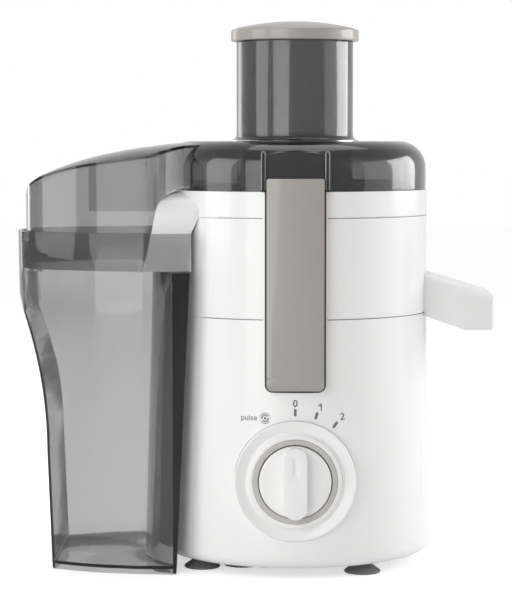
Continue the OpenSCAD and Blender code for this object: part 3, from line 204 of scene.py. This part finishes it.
def makeSmoke(name, density=1.0, tint=None, gloss=0.5, coat=0.0):
    mat, tree, shader = newMaterial(name)
    shader.inputs["Base Color"].default_value = (*smokeClear["tint"], 1)
    if tint:
        tree.links.new(tint(tree), shader.inputs["Base Color"])
    shader.inputs["Specular IOR Level"].default_value = gloss
    shader.inputs["Coat Weight"].default_value = coat
    shader.inputs["Coat Roughness"].default_value = smokeClear["coatRoughness"]
    shader.inputs["Transmission Weight"].default_value = 1.0
    shader.inputs["IOR"].default_value = smokeClear["ior"]
    sheen = objectNoise(tree, smokeClear["sheenScale"])
    tree.links.new(valueRange(tree, sheen, *smokeClear["roughness"]), shader.inputs["Roughness"])
    absorb = tree.nodes.new("ShaderNodeVolumeAbsorption")
    absorb.inputs["Color"].default_value = (*smokeClear["absorbs"], 1)
    absorb.inputs["Density"].default_value = smokeClear["density"] * density
    tree.links.new(absorb.outputs["Volume"], tree.nodes["Material Output"].inputs["Volume"])
    ripples = objectNoise(tree, smokeClear["rippleScale"])
    addBump(tree, shader, ripples, smokeClear["rippleStrength"], smokeClear["ripple"])
    return mat


satin = dict(
    cloudScale=14, sheenScale=60, coatRoughness=0.1, grainScale=900, grainDetail=3, grainStrength=0.35)


def makeSatin(name, tone, toneShift, roughness=(0.38, 0.5), grain=0.00005, coat=0.0):
    mat, tree, shader = newMaterial(name)
    cloud = objectNoise(tree, satin["cloudScale"])
    tree.links.new(twoTones(tree, cloud, tone, toneShift), shader.inputs["Base Color"])
    sheen = objectNoise(tree, satin["sheenScale"])
    tree.links.new(valueRange(tree, sheen, *roughness), shader.inputs["Roughness"])
    shader.inputs["Coat Weight"].default_value = coat
    shader.inputs["Coat Roughness"].default_value = satin["coatRoughness"]
    grains = objectNoise(tree, satin["grainScale"], detail=satin["grainDetail"])
    addBump(tree, shader, grains, satin["grainStrength"], grain)
    return mat


metal = dict(brushScale=120, brushDetail=4, grainStrength=0.3)


def makeMetal(name, tone, toneShift, roughness=(0.25, 0.38), stretch=(1, 1, 40), grain=0.00004):
    mat, tree, shader = newMaterial(name)
    brushed = objectNoise(tree, metal["brushScale"], detail=metal["brushDetail"], stretch=stretch)
    tree.links.new(twoTones(tree, brushed, tone, toneShift), shader.inputs["Base Color"])
    tree.links.new(valueRange(tree, brushed, *roughness), shader.inputs["Roughness"])
    shader.inputs["Metallic"].default_value = 1.0
    addBump(tree, shader, brushed, metal["grainStrength"], grain)
    return mat


# A slightly darker tone for the second colour of a finish.
def darker(tone, share):
    return tuple(c * share for c in tone)


finishes = {
    "white_plastic": makeMouldedWhite(),
    # The container's smoke is tinted with painted shade, deeper on its end walls.
    "smoke_plastic": makeSmoke("smokeWithPaintedShade", density=1.5, tint=paintContainerShade, gloss=0.2),
    "basket_plastic": makeSmoke("basketPlastic", density=1.6),
    "warm_grey_plastic": makeSatin(
        "warmGreyPlastic", (0.37, 0.347, 0.328), (0.355, 0.333, 0.315), coat=0.6),
    "ring_grey_plastic": makeSatin("ringGreyPlastic", (0.56, 0.535, 0.51), (0.54, 0.515, 0.49)),
    "grey_rubber": makeSatin(
        "greyRubber", (0.19, 0.19, 0.195), (0.165, 0.165, 0.17), (0.5, 0.65), 0.0001),
    "black_plastic": makeSatin("blackPlastic", (0.03, 0.03, 0.032), (0.022, 0.022, 0.024)),
    "screw_steel": makeMetal("brightSteel", (0.62, 0.62, 0.64), (0.54, 0.54, 0.56), (0.18, 0.3)),
    "mesh_steel": makeMetal(
        "meshSteel", (0.6, 0.6, 0.61), (0.5, 0.5, 0.52), (0.25, 0.4), (20, 20, 1)),
    "lamination_steel": makeMetal(
        "laminatedSteel", (0.24, 0.24, 0.26), (0.16, 0.16, 0.18), (0.35, 0.5), (1, 1, 30)),
    "cast_bracket": makeMetal(
        "castBracket", (0.5, 0.5, 0.52), (0.42, 0.42, 0.44), (0.4, 0.55), (1, 1, 1), 0.0002),
    "copper_wire": makeMetal(
        "copperWire", (0.62, 0.27, 0.12), (0.45, 0.18, 0.07), (0.25, 0.4), (1, 1, 12), 0.0003),
}

# The feed tube and the pusher are tinted more than the lid and the container.
deepSmoke = makeSmoke("deepSmokePlastic", density=3.0, gloss=0.05, coat=0.6)
# The lid's smoke is tinted with painted shade, deeper on its round part, its skirt and its upper faces.
lidSmokeShaded = makeSmoke("lidSmokeWithPaintedShade", density=2.0, tint=paintLidShade, gloss=0.05, coat=0.4)
for part in frame["record"]["subparts"]:
    body = nodes[part["node"]]
    body.data.materials.clear()
    deeper = part["node"] in ("feed_tube", "pusher_tube")
    body.data.materials.append(deepSmoke if deeper else finishes[part["material_slot"]])
print("finishes:", len(finishes))


# Rounded edges of single bodies, and how every mesh's facets are joined and shaded.
softEdges = dict(
    latch_arm_front=0.0007, latch_arm_rear=0.0007, spout=0.0006, pusher_cap=0.0005,
    pulp_container=0.0006, dial_knob=0.0005, dial_ring=0.0003, feed_tube=0.0005)
shading = dict(weld=0.000004, sharpAngle=32, bevelAngle=40, bevelSegments=3)


def smoothEdges(obj):
    obj.data.polygons.foreach_set("use_smooth", [True] * len(obj.data.polygons))
    weld = obj.modifiers.new("joinFacets", "WELD")
    weld.merge_threshold = shading["weld"]
    if obj.name in softEdges:
        bevel = obj.modifiers.new("softEdge", "BEVEL")
        bevel.width = softEdges[obj.name]
        bevel.segments = shading["bevelSegments"]
        bevel.limit_method = "ANGLE"
        bevel.angle_limit = math.radians(shading["bevelAngle"])
        bevel.miter_outer = "MITER_ARC"
        bevel.use_clamp_overlap = True
    split = obj.modifiers.new("keepCorners", "EDGE_SPLIT")
    split.split_angle = math.radians(shading["sharpAngle"])


for name, body in nodes.items():
    smoothEdges(body)


# A piece of its own, which moves with a body.
def newPiece(name, mesh, finish, body):
    piece = bpy.data.objects.new(name, mesh)
    bpy.context.scene.collection.objects.link(piece)
    mesh.materials.clear()
    mesh.materials.append(finish)
    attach(piece, body)
    return piece


def meshFrom(name, points, faces):
    mesh = bpy.data.meshes.new(name)
    mesh.from_pydata([tuple(point) for point in points], [], faces)
    mesh.validate()
    return mesh


# Opens a mesh for editing, hands it to the given function and writes it back.
def rework(mesh, work):
    shape = bmesh.new()
    shape.from_mesh(mesh)
    work(shape)
    shape.to_mesh(mesh)
    shape.free()
    return mesh


def faceOutwards(shape):
    bmesh.ops.recalc_face_normals(shape, faces=shape.faces)


# The plain mesh that an object's modifiers or text come to.
def resultOf(holder):
    graph = bpy.context.evaluated_depsgraph_get()
    return bpy.data.meshes.new_from_object(holder.evaluated_get(graph))


housing = dict(topRadius=0.0894, lowRadius=0.0925, lowZ=0.0075, topZ=0.169)


def housingRadius(z):
    share = (z - housing["lowZ"]) / (housing["topZ"] - housing["lowZ"])
    return housing["lowRadius"] + (housing["topRadius"] - housing["lowRadius"]) * share


def onHousing(x, z, lift):
    radius = housingRadius(z) + lift
    return fromAxis(x, -math.sqrt(radius * radius - x * x), z)


# Printed marks lie on the housing's cone: x along the front, z upwards from the dial's centre.
dialMarks = dict(
    dialZ=0.065, lift=0.00005, tone=(0.165, 0.175, 0.185), paleTone=(0.3, 0.305, 0.31),
    inkRoughness=(0.4, 0.5), inkGrain=0.00001, inkShade=0.9, weld=0.000002,
    tickRadius=0.0446, tickLength=0.0049, tickWidth=0.00185, tickAngles=(0, 17.8, 35.4),
    digits=(("0", 0.0, 0.0505), ("1", 0.0160, 0.0480), ("2", 0.0304, 0.0416)),
    digitHeight=0.0047, digitBolder=0.022,
    word="pulse", wordAt=(-0.0298, 0.0404), wordWidth=0.0105, wordBolder=0.02, textSteps=5,
    ringAt=(-0.01945, 0.0407), ringRadius=0.0036, dotRadius=0.0009, dotSteps=20,
    ringArcs=((0.84, 1, 0, 360), (0.42, 0.72, 35, 190), (0.42, 0.72, 215, 370)))
oneOutline = [(0, 0), (0.24, 0), (0.24, 1), (0.02, 1), (-0.26, 0.8), (-0.26, 0.56), (0, 0.74)]
oneFaces = [(0, 1, 2, 3, 6), (3, 4, 5, 6)]  # a stem and its flag


def flatText(body, bolder):
    curve = bpy.data.curves.new("markText", "FONT")
    curve.body = body
    curve.offset = bolder
    curve.resolution_u = dialMarks["textSteps"]
    holder = bpy.data.objects.new("markText", curve)
    bpy.context.scene.collection.objects.link(holder)
    mesh = resultOf(holder)
    bpy.data.objects.remove(holder)
    bpy.data.curves.remove(curve)
    return [(v.co.x, v.co.y) for v in mesh.vertices], [tuple(p.vertices) for p in mesh.polygons]


def fitText(points, height=None, width=None):
    lowX, highX = min(p[0] for p in points), max(p[0] for p in points)
    lowY, highY = min(p[1] for p in points), max(p[1] for p in points)
    scale = height / (highY - lowY) if height else width / (highX - lowX)
    return [((x - (lowX + highX) / 2) * scale, (y - (lowY + highY) / 2) * scale) for x, y in points]


def bandOfRing(inner, outer, fromAngle, toAngle, steps=40):
    points, faces = [], []
    for i in range(steps + 1):
        angle = math.radians(fromAngle + (toAngle - fromAngle) * i / steps)
        points += [(inner * math.cos(angle), inner * math.sin(angle)),
                   (outer * math.cos(angle), outer * math.sin(angle))]
    for i in range(steps):
        faces.append((2 * i, 2 * i + 1, 2 * i + 3, 2 * i + 2))
    return points, faces


def roundedTick(length, width, steps=8):
    radius, half = width / 2, length / 2 - width / 2
    points = []
    for centre, start in ((half, 0), (-half, 180)):
        for i in range(steps + 1):
            angle = math.radians(start + 180 * i / steps)
            points.append((radius * math.cos(angle), centre + radius * math.sin(angle)))
    return points, [tuple(range(len(points)))]


def addMarks():
    dark, pale = [], []

    def place(group, shape, x, z, turn=0.0):
        points, faces = shape
        cosine, sine = math.cos(turn), math.sin(turn)
        moved = [(x + px * cosine + pz * sine, z - px * sine + pz * cosine) for px, pz in points]
        group.append((moved, faces))

    radius = dialMarks["tickRadius"]
    for degrees in dialMarks["tickAngles"]:
        turn = math.radians(degrees)
        place(dark, roundedTick(dialMarks["tickLength"], dialMarks["tickWidth"]),
              radius * math.sin(turn), radius * math.cos(turn), turn)
    for digit, x, z in dialMarks["digits"]:
        own = digit == "1"
        points, faces = (oneOutline, oneFaces) if own else flatText(digit, dialMarks["digitBolder"])
        place(dark, (fitText(points, height=dialMarks["digitHeight"]), faces), x, z)
    points, faces = flatText(dialMarks["word"], dialMarks["wordBolder"])
    place(pale, (fitText(points, width=dialMarks["wordWidth"]), faces), *dialMarks["wordAt"])
    ring = dialMarks["ringRadius"]
    for inner, outer, start, end in dialMarks["ringArcs"]:
        place(pale, bandOfRing(ring * inner, ring * outer, start, end), *dialMarks["ringAt"])
    dot = bandOfRing(0, dialMarks["dotRadius"], 0, 360, dialMarks["dotSteps"])
    place(dark, dot, *dialMarks["ringAt"])

    def faceFront(shape):
        bmesh.ops.remove_doubles(shape, verts=shape.verts, dist=dialMarks["weld"])
        bmesh.ops.reverse_faces(shape, faces=[face for face in shape.faces if face.normal.y > 0])

    for name, group, tone in (("dialMarks", dark, dialMarks["tone"]),
                              ("pulseMark", pale, dialMarks["paleTone"])):
        points, faces = [], []
        for moved, shape in group:
            first = len(points)
            points += [onHousing(x, dialMarks["dialZ"] + z, dialMarks["lift"]) for x, z in moved]
            faces += [tuple(first + i for i in face) for face in shape]
        ink = makeSatin(name + "Ink", tone, darker(tone, dialMarks["inkShade"]),
                        dialMarks["inkRoughness"], dialMarks["inkGrain"])
        mesh = rework(meshFrom(name, points, faces), faceFront)
        newPiece(name, mesh, ink, "base")


addMarks()
print("marks round the dial")


# A dark strip fills the gap round each latch arm: painted shade for the deep recess there.
armGapShade = dict(
    halfWidth=0.0191, width=0.00115, lowZ=0.12288, highZ=0.2514, corner=0.0044,
    sideSteps=20, cornerSteps=8, bottomShares=(-0.3, 0, 0.3),
    inRadius=0.08755, recess=0.0006,
    tone=(0.035, 0.034, 0.033), shade=0.8, roughness=(0.5, 0.65))


# Down one side of the arm's slot, round its lower corners and up the other side.
def gapShadePath():
    half, corner, low = armGapShade["halfWidth"], armGapShade["corner"], armGapShade["lowZ"]
    high, steps, turns = armGapShade["highZ"], armGapShade["sideSteps"], armGapShade["cornerSteps"]
    angles = [math.pi / 2 * i / turns for i in range(turns + 1)]
    path = [(-half, high + (low + corner - high) * i / steps) for i in range(steps)]
    path += [(-half + corner - corner * math.cos(a), low + corner - corner * math.sin(a))
             for a in angles]
    path += [(half * share, low) for share in armGapShade["bottomShares"]]
    path += [(half - corner + corner * math.sin(a), low + corner - corner * math.cos(a))
             for a in angles]
    path += [(half, low + corner + (high - low - corner) * i / steps) for i in range(1, steps + 1)]
    return path


def addArmGapShades():
    path = gapShadePath()
    gapShade = makeSatin("paintedGapShade", armGapShade["tone"], darker(armGapShade["tone"], armGapShade["shade"]),
                       armGapShade["roughness"])
    inner = armGapShade["inRadius"]
    for name, side in (("armGapShadeFront", -1), ("armGapShadeRear", 1)):
        points, faces = [], []
        for i, (x, z) in enumerate(path):
            before, after = path[max(i - 1, 0)], path[min(i + 1, len(path) - 1)]
            along = Vector((after[0] - before[0], after[1] - before[1])).normalized()
            across = Vector((-along.y, along.x)) * armGapShade["width"] / 2
            shell = min(housingRadius(min(z, housing["topZ"])), housing["lowRadius"])
            outer = shell - armGapShade["recess"]
            for edge, radius in ((-1, inner), (1, inner), (1, outer), (-1, outer)):
                px, pz = x + across.x * edge, z + across.y * edge
                points.append(fromAxis(px, side * math.sqrt(radius * radius - px * px), pz))
        for i in range(len(path) - 1):
            for k in range(4):
                a, b = 4 * i + k, 4 * i + (k + 1) % 4
                faces.append((a, b, b + 4, a + 4))
        last = 4 * (len(path) - 1)
        faces += [(3, 2, 1, 0), (last, last + 1, last + 2, last + 3)]
        mesh = rework(meshFrom(name, points, faces), faceOutwards)
        newPiece(name, mesh, gapShade, "base")


addArmGapShades()
print("painted shade round the arms")


# The roof of the chute swells towards its end, over a softer corner than the plain solid has.
chuteLid = dict(
    lowZ=0.225, highZ=0.25,
    swell=((-0.183, -0.0005), (-0.180, 0.0008), (-0.178, 0.0021), (-0.174, 0.0034),
           (-0.170, 0.004), (-0.159, 0.0037), (-0.146, 0.0029), (-0.132, 0.002),
           (-0.119, 0.001), (-0.105, 0.0004), (-0.098, 0.0)))


def alongSteps(steps, x):
    if x <= steps[0][0] or x >= steps[-1][0]:
        return steps[0][1] if x <= steps[0][0] else steps[-1][1]
    for (fromX, first), (toX, second) in zip(steps, steps[1:]):
        if x <= toX:
            return first + (second - first) * (x - fromX) / (toX - fromX)


def addChuteLid():
    low, high = chuteLid["lowZ"], chuteLid["highZ"]

    def swell(shape):
        bmesh.ops.remove_doubles(shape, verts=shape.verts, dist=shading["weld"])
        for vert in shape.verts:
            share = min(max((vert.co.z - low) / (high - low), 0), 1)
            vert.co.z += share * alongSteps(chuteLid["swell"], vert.co.x - axis.x)

    mesh = rework(nodes["lid"].data.copy(), swell)
    mesh.name = "chuteLid"
    lid = newPiece("chuteLid", mesh, lidSmokeShaded, "base")
    smoothEdges(lid)
    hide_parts("lid")


# A baffle hangs from the chute's roof and turns the pulp down into the container.
baffle = dict(
    y=0.020, thick=0.0016, lowZ=0.2358, gap=0.0012, steps=24, fromX=-0.1415, toX=-0.088,
    roofRadius=0.250, roofCentre=(-0.058, 0.0336), roofWall=0.0022, density=3.0)


def addBaffle():
    centreX, centreZ = baffle["roofCentre"]
    reach = baffle["roofRadius"] - baffle["roofWall"] - baffle["gap"]
    outline = [(baffle["fromX"], baffle["lowZ"]), (baffle["toX"], baffle["lowZ"])]
    for i in range(baffle["steps"] + 1):
        x = baffle["toX"] + (baffle["fromX"] - baffle["toX"]) * i / baffle["steps"]
        top = centreZ + math.sqrt(reach * reach - (x - centreX) ** 2)
        outline.append((x, top + alongSteps(chuteLid["swell"], x)))
    count = len(outline)
    points = [fromAxis(x, baffle["y"] + side * baffle["thick"] / 2, z)
              for side in (-1, 1) for x, z in outline]
    faces = [tuple(range(count)), tuple(range(2 * count - 1, count - 1, -1))]
    faces += [(i, i + count, (i + 1) % count + count, (i + 1) % count) for i in range(count)]
    mesh = rework(meshFrom("chuteBaffle", points, faces), faceOutwards)
    smoke = makeSmoke("bafflePlastic", density=baffle["density"])
    newPiece("chuteBaffle", mesh, smoke, "base")


addChuteLid()
addBaffle()
print("lid with its baffle")


# A node group with its inputs named, its nodes made and its links laid.
def newTree(name, inputs, kinds, links):
    tree = bpy.data.node_groups.new(name, "GeometryNodeTree")
    for label, kind in (("Geometry", "Geometry"), *inputs):
        tree.interface.new_socket(label, in_out="INPUT", socket_type="NodeSocket" + kind)
    tree.interface.new_socket("Geometry", in_out="OUTPUT", socket_type="NodeSocketGeometry")
    made = {key: tree.nodes.new(kind) for key, kind in kinds.items()}
    for fromNode, fromSocket, toNode, toSocket in links:
        tree.links.new(made[fromNode].outputs[fromSocket], made[toNode].inputs[toSocket])
    return tree, made


# A round bead laid along a path.
def beadTree():
    tree, made = newTree(
        "beadAlongPath",
        (("Bead Radius", "Float"), ("Bead Sides", "Int"), ("Finish", "Material")),
        {"in": "NodeGroupInput", "path": "GeometryNodeMeshToCurve",
         "ring": "GeometryNodeCurvePrimitiveCircle", "sweep": "GeometryNodeCurveToMesh",
         "smooth": "GeometryNodeSetShadeSmooth", "real": "GeometryNodeRealizeInstances",
         "finish": "GeometryNodeSetMaterial", "out": "NodeGroupOutput"},
        (("in", "Geometry", "path", "Mesh"), ("in", "Bead Radius", "ring", "Radius"),
         ("in", "Bead Sides", "ring", "Resolution"), ("path", "Curve", "sweep", "Curve"),
         ("ring", "Curve", "sweep", "Profile Curve"), ("sweep", "Mesh", "smooth", "Geometry"),
         ("smooth", "Geometry", "real", "Geometry"), ("real", "Geometry", "finish", "Geometry"),
         ("in", "Finish", "finish", "Material"), ("finish", "Geometry", "out", "Geometry")))
    made["sweep"].inputs["Fill Caps"].default_value = True
    return tree


def runTree(name, tree, mesh, settings):
    holder = bpy.data.objects.new(name + "Base", mesh)
    bpy.context.scene.collection.objects.link(holder)
    run = holder.modifiers.new(tree.name, "NODES")
    run.node_group = tree
    for item in tree.interface.items_tree:
        if item.in_out == "INPUT" and item.name in settings:
            run[item.identifier] = settings[item.name]
    result = resultOf(holder)
    result.name = name
    holder.modifiers.remove(run)
    bpy.data.objects.remove(holder)
    bpy.data.meshes.remove(mesh)
    return result


def pathMesh(name, paths):
    mesh = bpy.data.meshes.new(name)
    points, edges = [], []
    for path in paths:
        first = len(points)
        points += [tuple(point) for point in path]
        edges += [(first + i, first + i + 1) for i in range(len(path) - 1)]
    mesh.from_pydata(points, edges, [])
    return mesh


# Joint shadows, the lid's dark seal, and a pale line round each rail of the lid, a painted highlight on
# its edges.
beads = dict(
    ringStep=1.6, shade=0.92, roughness=(0.25, 0.4), grain=0.00001,
    seamRadius=0.0003, seamSides=6, seamTone=(0.2, 0.2, 0.2), seamRing=0.08918,
    seams=((0.2343, 134), (0.1690, 132)), slotSpread=13.6,
    sealRadius=0.0016, sealSides=10, sealTone=(0.02, 0.02, 0.022),
    sealRings=((0.0785, 0.2532), (0.0785, 0.2556)), sealSpread=118,
    # The pale rail lines are a painted highlight along the edges of the lid's rails.
    railX=0.0206, railY=0.0884, railLow=0.2528, railTop=0.276, railHalf=0.00105,
    railSteps=6, railTurns=10, railRadius=0.00042, railSides=8, railTone=(0.62, 0.62, 0.62))


def ringPath(radius, z, fromAngle, toAngle):
    steps = math.ceil((toAngle - fromAngle) / beads["ringStep"])
    angles = [math.radians(fromAngle + (toAngle - fromAngle) * i / steps) for i in range(steps + 1)]
    return [fromAxis(radius * math.cos(a), radius * math.sin(a), z) for a in angles]


def railPath(side, x):
    half, low, top = beads["railHalf"], beads["railLow"], beads["railTop"]
    steps, turns = beads["railSteps"], beads["railTurns"]
    angles = [math.pi * i / turns for i in range(turns + 1)]
    outline = [(x - half, low + (top - low) * i / steps) for i in range(steps)]
    outline += [(x - half * math.cos(a), top + half * math.sin(a)) for a in angles]
    outline += [(x + half, top + (low - top) * i / steps) for i in range(1, steps + 1)]
    return [fromAxis(px, side * beads["railY"], z) for px, z in outline]


# The joint rings stop at the slots of the arms.
def seamPaths():
    paths = []
    near, far = 90 - beads["slotSpread"], 90 + beads["slotSpread"]
    for z, spread in beads["seams"]:
        for fromAngle, toAngle in ((-near, near), (far, spread), (-spread, -far)):
            paths.append(ringPath(beads["seamRing"], z, fromAngle, toAngle))
    return paths


def addBeads():
    tree, spread = beadTree(), beads["sealSpread"]
    seals = [ringPath(*ring, -spread, spread) for ring in beads["sealRings"]]
    rails = [railPath(side, x) for side in (-1, 1) for x in (-beads["railX"], beads["railX"])]
    for name, kind, paths, slot in (("seamShadow", "seam", seamPaths(), "ring_grey_plastic"),
                                    ("lidSeal", "seal", seals, "grey_rubber"),
                                    ("railEdgeHighlights", "rail", rails, "ring_grey_plastic")):
        tone = beads[kind + "Tone"]
        finish = makeSatin(name + "Finish", tone, darker(tone, beads["shade"]),
                           beads["roughness"], beads["grain"])
        mesh = runTree(name, tree, pathMesh(name + "Path", paths), {
            "Bead Radius": beads[kind + "Radius"], "Bead Sides": beads[kind + "Sides"],
            "Finish": finish})
        newPiece(name, mesh, finish, "base")


addBeads()
print("beads, seal and joint shadows")


# Perforations of the filter: rows of short round plugs along the cone's inner side.
perforations = dict(
    lowZ=0.2085, highZ=0.2455, rows=15, perRow=96, holeRadius=0.0009, holeSides=8,
    depth=0.0002, lift=0.0004, endBand=0.0005,
    tone=(0.02, 0.02, 0.022), shade=0.9, roughness=(0.6, 0.7))


# One closed plug stands at each point and turns its flat end to the axis.
def holeTree():
    tree, made = newTree(
        "perforatedCone",
        (("Axis Place", "Vector"), ("Hole Radius", "Float"), ("Hole Depth", "Float"),
         ("Hole Sides", "Int"), ("Finish", "Material")),
        {"in": "NodeGroupInput", "plug": "GeometryNodeMeshCylinder",
         "place": "GeometryNodeInputPosition", "towards": "ShaderNodeVectorMath",
         "flat": "ShaderNodeVectorMath", "turn": "FunctionNodeAlignRotationToVector",
         "spread": "GeometryNodeInstanceOnPoints", "real": "GeometryNodeRealizeInstances",
         "finish": "GeometryNodeSetMaterial", "out": "NodeGroupOutput"},
        (("in", "Hole Sides", "plug", "Vertices"), ("in", "Hole Radius", "plug", "Radius"),
         ("in", "Hole Depth", "plug", "Depth"), ("in", "Axis Place", "towards", 0),
         ("place", "Position", "towards", 1), ("towards", "Vector", "flat", 0),
         ("flat", "Vector", "turn", "Vector"), ("in", "Geometry", "spread", "Points"),
         ("plug", "Mesh", "spread", "Instance"), ("turn", "Rotation", "spread", "Rotation"),
         ("spread", "Instances", "real", "Geometry"), ("real", "Geometry", "finish", "Geometry"),
         ("in", "Finish", "finish", "Material"), ("finish", "Geometry", "out", "Geometry")))
    made["plug"].fill_type = "NGON"
    made["towards"].operation, made["flat"].operation = "SUBTRACT", "MULTIPLY"
    made["flat"].inputs[1].default_value = (1, 1, 0)
    made["turn"].axis = "Z"
    return tree


# The filter's height and radius at its two ends.
def coneEnds():
    points = nodes["filter_mesh"].data.vertices
    radii = [(v.co.z, math.hypot(v.co.x - axis.x, v.co.y - axis.y)) for v in points]
    low, high = min(r[0] for r in radii), max(r[0] for r in radii)
    lowest = min(r[1] for r in radii if r[0] < low + perforations["endBand"])
    highest = min(r[1] for r in radii if r[0] > high - perforations["endBand"])
    return low, high, lowest, highest


def addPerforations():
    low, high, lowest, highest = coneEnds()
    firstZ, lastZ, rows = perforations["lowZ"], perforations["highZ"], perforations["rows"]
    points = []
    for row in range(rows):
        z = firstZ + (lastZ - firstZ) * row / (rows - 1)
        radius = lowest + (highest - lowest) * (z - low) / (high - low) - perforations["lift"]
        for i in range(perforations["perRow"]):
            angle = 2 * math.pi * (i + row % 2 / 2) / perforations["perRow"]
            points.append(fromAxis(radius * math.cos(angle), radius * math.sin(angle), z))
    finish = makeSatin("holeShadow", perforations["tone"],
                       darker(perforations["tone"], perforations["shade"]), perforations["roughness"])
    mesh = runTree("filterHoles", holeTree(), meshFrom("filterHolesPoints", points, []), {
        "Axis Place": axis, "Hole Radius": perforations["holeRadius"],
        "Hole Depth": perforations["depth"], "Hole Sides": perforations["holeSides"],
        "Finish": finish})
    newPiece("filterHoles", mesh, finish, "rotor")


addPerforations()
print("perforations of the filter")


# White floor and sky for the camera and for what is seen through or mirrored; five softboxes
# and a strip light the object, all aimed at one place from the drive axis.
studio = dict(
    floorHalf=6.0, floorTone=0.82, floorRoughness=0.5, floorLift=0.58,
    worldLight=0.35, skyWhite=1.0, glossShare=0.6, aim=(-0.03, 0, 0.19),
    lamps=(  # name, power, place, width and height
        ("leftLamp", 10.2, (-0.75, -1.5, 0.6), (0.95, 1.4)),
        ("sideLamp", 7.4, (-1.5, -0.6, 0.7), (0.8, 1.2)),
        ("edgeLamp", 2.0, (-1.0, 1.15, 0.5), (0.5, 0.8)),
        ("rimLamp", 10.5, (1.45, 0.5, 0.56), (1.0, 0.7)),
        ("rightLamp", 4.5, (1.45, -0.15, 0.3), (1.2, 1.2)),
        ("topLamp", 4.2, (0.1, 0.2, 1.4), (0.9, 0.9))))


def seenAndReflected(tree):
    path = tree.nodes.new("ShaderNodeLightPath")
    gloss = tree.nodes.new("ShaderNodeMath")
    gloss.operation = "MULTIPLY"
    gloss.inputs[1].default_value = studio["glossShare"]
    tree.links.new(path.outputs["Is Glossy Ray"], gloss.inputs[0])
    total = path.outputs["Is Camera Ray"]
    for share in (gloss.outputs[0], path.outputs["Is Transmission Ray"]):
        add = tree.nodes.new("ShaderNodeMath")
        add.operation = "MAXIMUM"
        tree.links.new(total, add.inputs[0])
        tree.links.new(share, add.inputs[1])
        total = add.outputs[0]
    return total


def makeWorld():
    world = bpy.data.worlds.new("studio")
    bpy.context.scene.world = world
    world.use_nodes = True
    tree = world.node_tree
    sky = tree.nodes["Background"]
    sky.inputs["Color"].default_value = (1, 1, 1, 1)
    strength = tree.nodes.new("ShaderNodeMapRange")
    strength.inputs["To Min"].default_value = studio["worldLight"]
    strength.inputs["To Max"].default_value = studio["skyWhite"]
    tree.links.new(seenAndReflected(tree), strength.inputs["Value"])
    tree.links.new(strength.outputs["Result"], sky.inputs["Strength"])


def makeFloor():
    mesh = bpy.data.meshes.new("floor")
    half = studio["floorHalf"]
    mesh.from_pydata([(-half, -half, 0), (half, -half, 0), (half, half, 0), (-half, half, 0)],
                     [], [(0, 1, 2, 3)])
    floor = bpy.data.objects.new("floor", mesh)
    bpy.context.scene.collection.objects.link(floor)
    mat, tree, shader = newMaterial("paleFloor")
    shader.inputs["Base Color"].default_value = (*[studio["floorTone"]] * 3, 1)
    shader.inputs["Roughness"].default_value = studio["floorRoughness"]
    shader.inputs["Emission Color"].default_value = (1, 1, 1, 1)
    lift = tree.nodes.new("ShaderNodeMath")
    lift.operation = "MULTIPLY"
    lift.inputs[1].default_value = studio["floorLift"]
    tree.links.new(seenAndReflected(tree), lift.inputs[0])
    tree.links.new(lift.outputs[0], shader.inputs["Emission Strength"])
    mesh.materials.append(mat)


def makeLamp(name, power, at, size):
    lamp = bpy.data.lights.new(name, "AREA")
    lamp.energy = power
    lamp.shape = "RECTANGLE"
    lamp.size, lamp.size_y = size
    obj = bpy.data.objects.new(name, lamp)
    obj.location = Vector(at)
    aim = fromAxis(*studio["aim"])
    obj.rotation_euler = (aim - obj.location).to_track_quat("-Z", "Y").to_euler()
    bpy.context.scene.collection.objects.link(obj)


makeWorld()
makeFloor()
for lamp in studio["lamps"]:
    makeLamp(*lamp)
bpy.context.scene.view_settings.view_transform = "Standard"
print("studio: floor, world and", len(studio["lamps"]), "lamps")


view = dict(lens=135.6, sensor=36, back=1.537, side=-0.0099, height=0.285, turn=0.61, tilt=4.06)


def makeCamera():
    lens = bpy.data.cameras.new("camera")
    lens.lens = view["lens"]
    lens.sensor_width = view["sensor"]
    camera = bpy.data.objects.new("camera", lens)
    camera.location = fromAxis(view["side"], -view["back"], view["height"])
    camera.rotation_euler = (math.radians(90 - view["tilt"]), 0, math.radians(view["turn"]))
    bpy.context.scene.collection.objects.link(camera)
    bpy.context.scene.camera = camera


makeCamera()
print("camera placed")
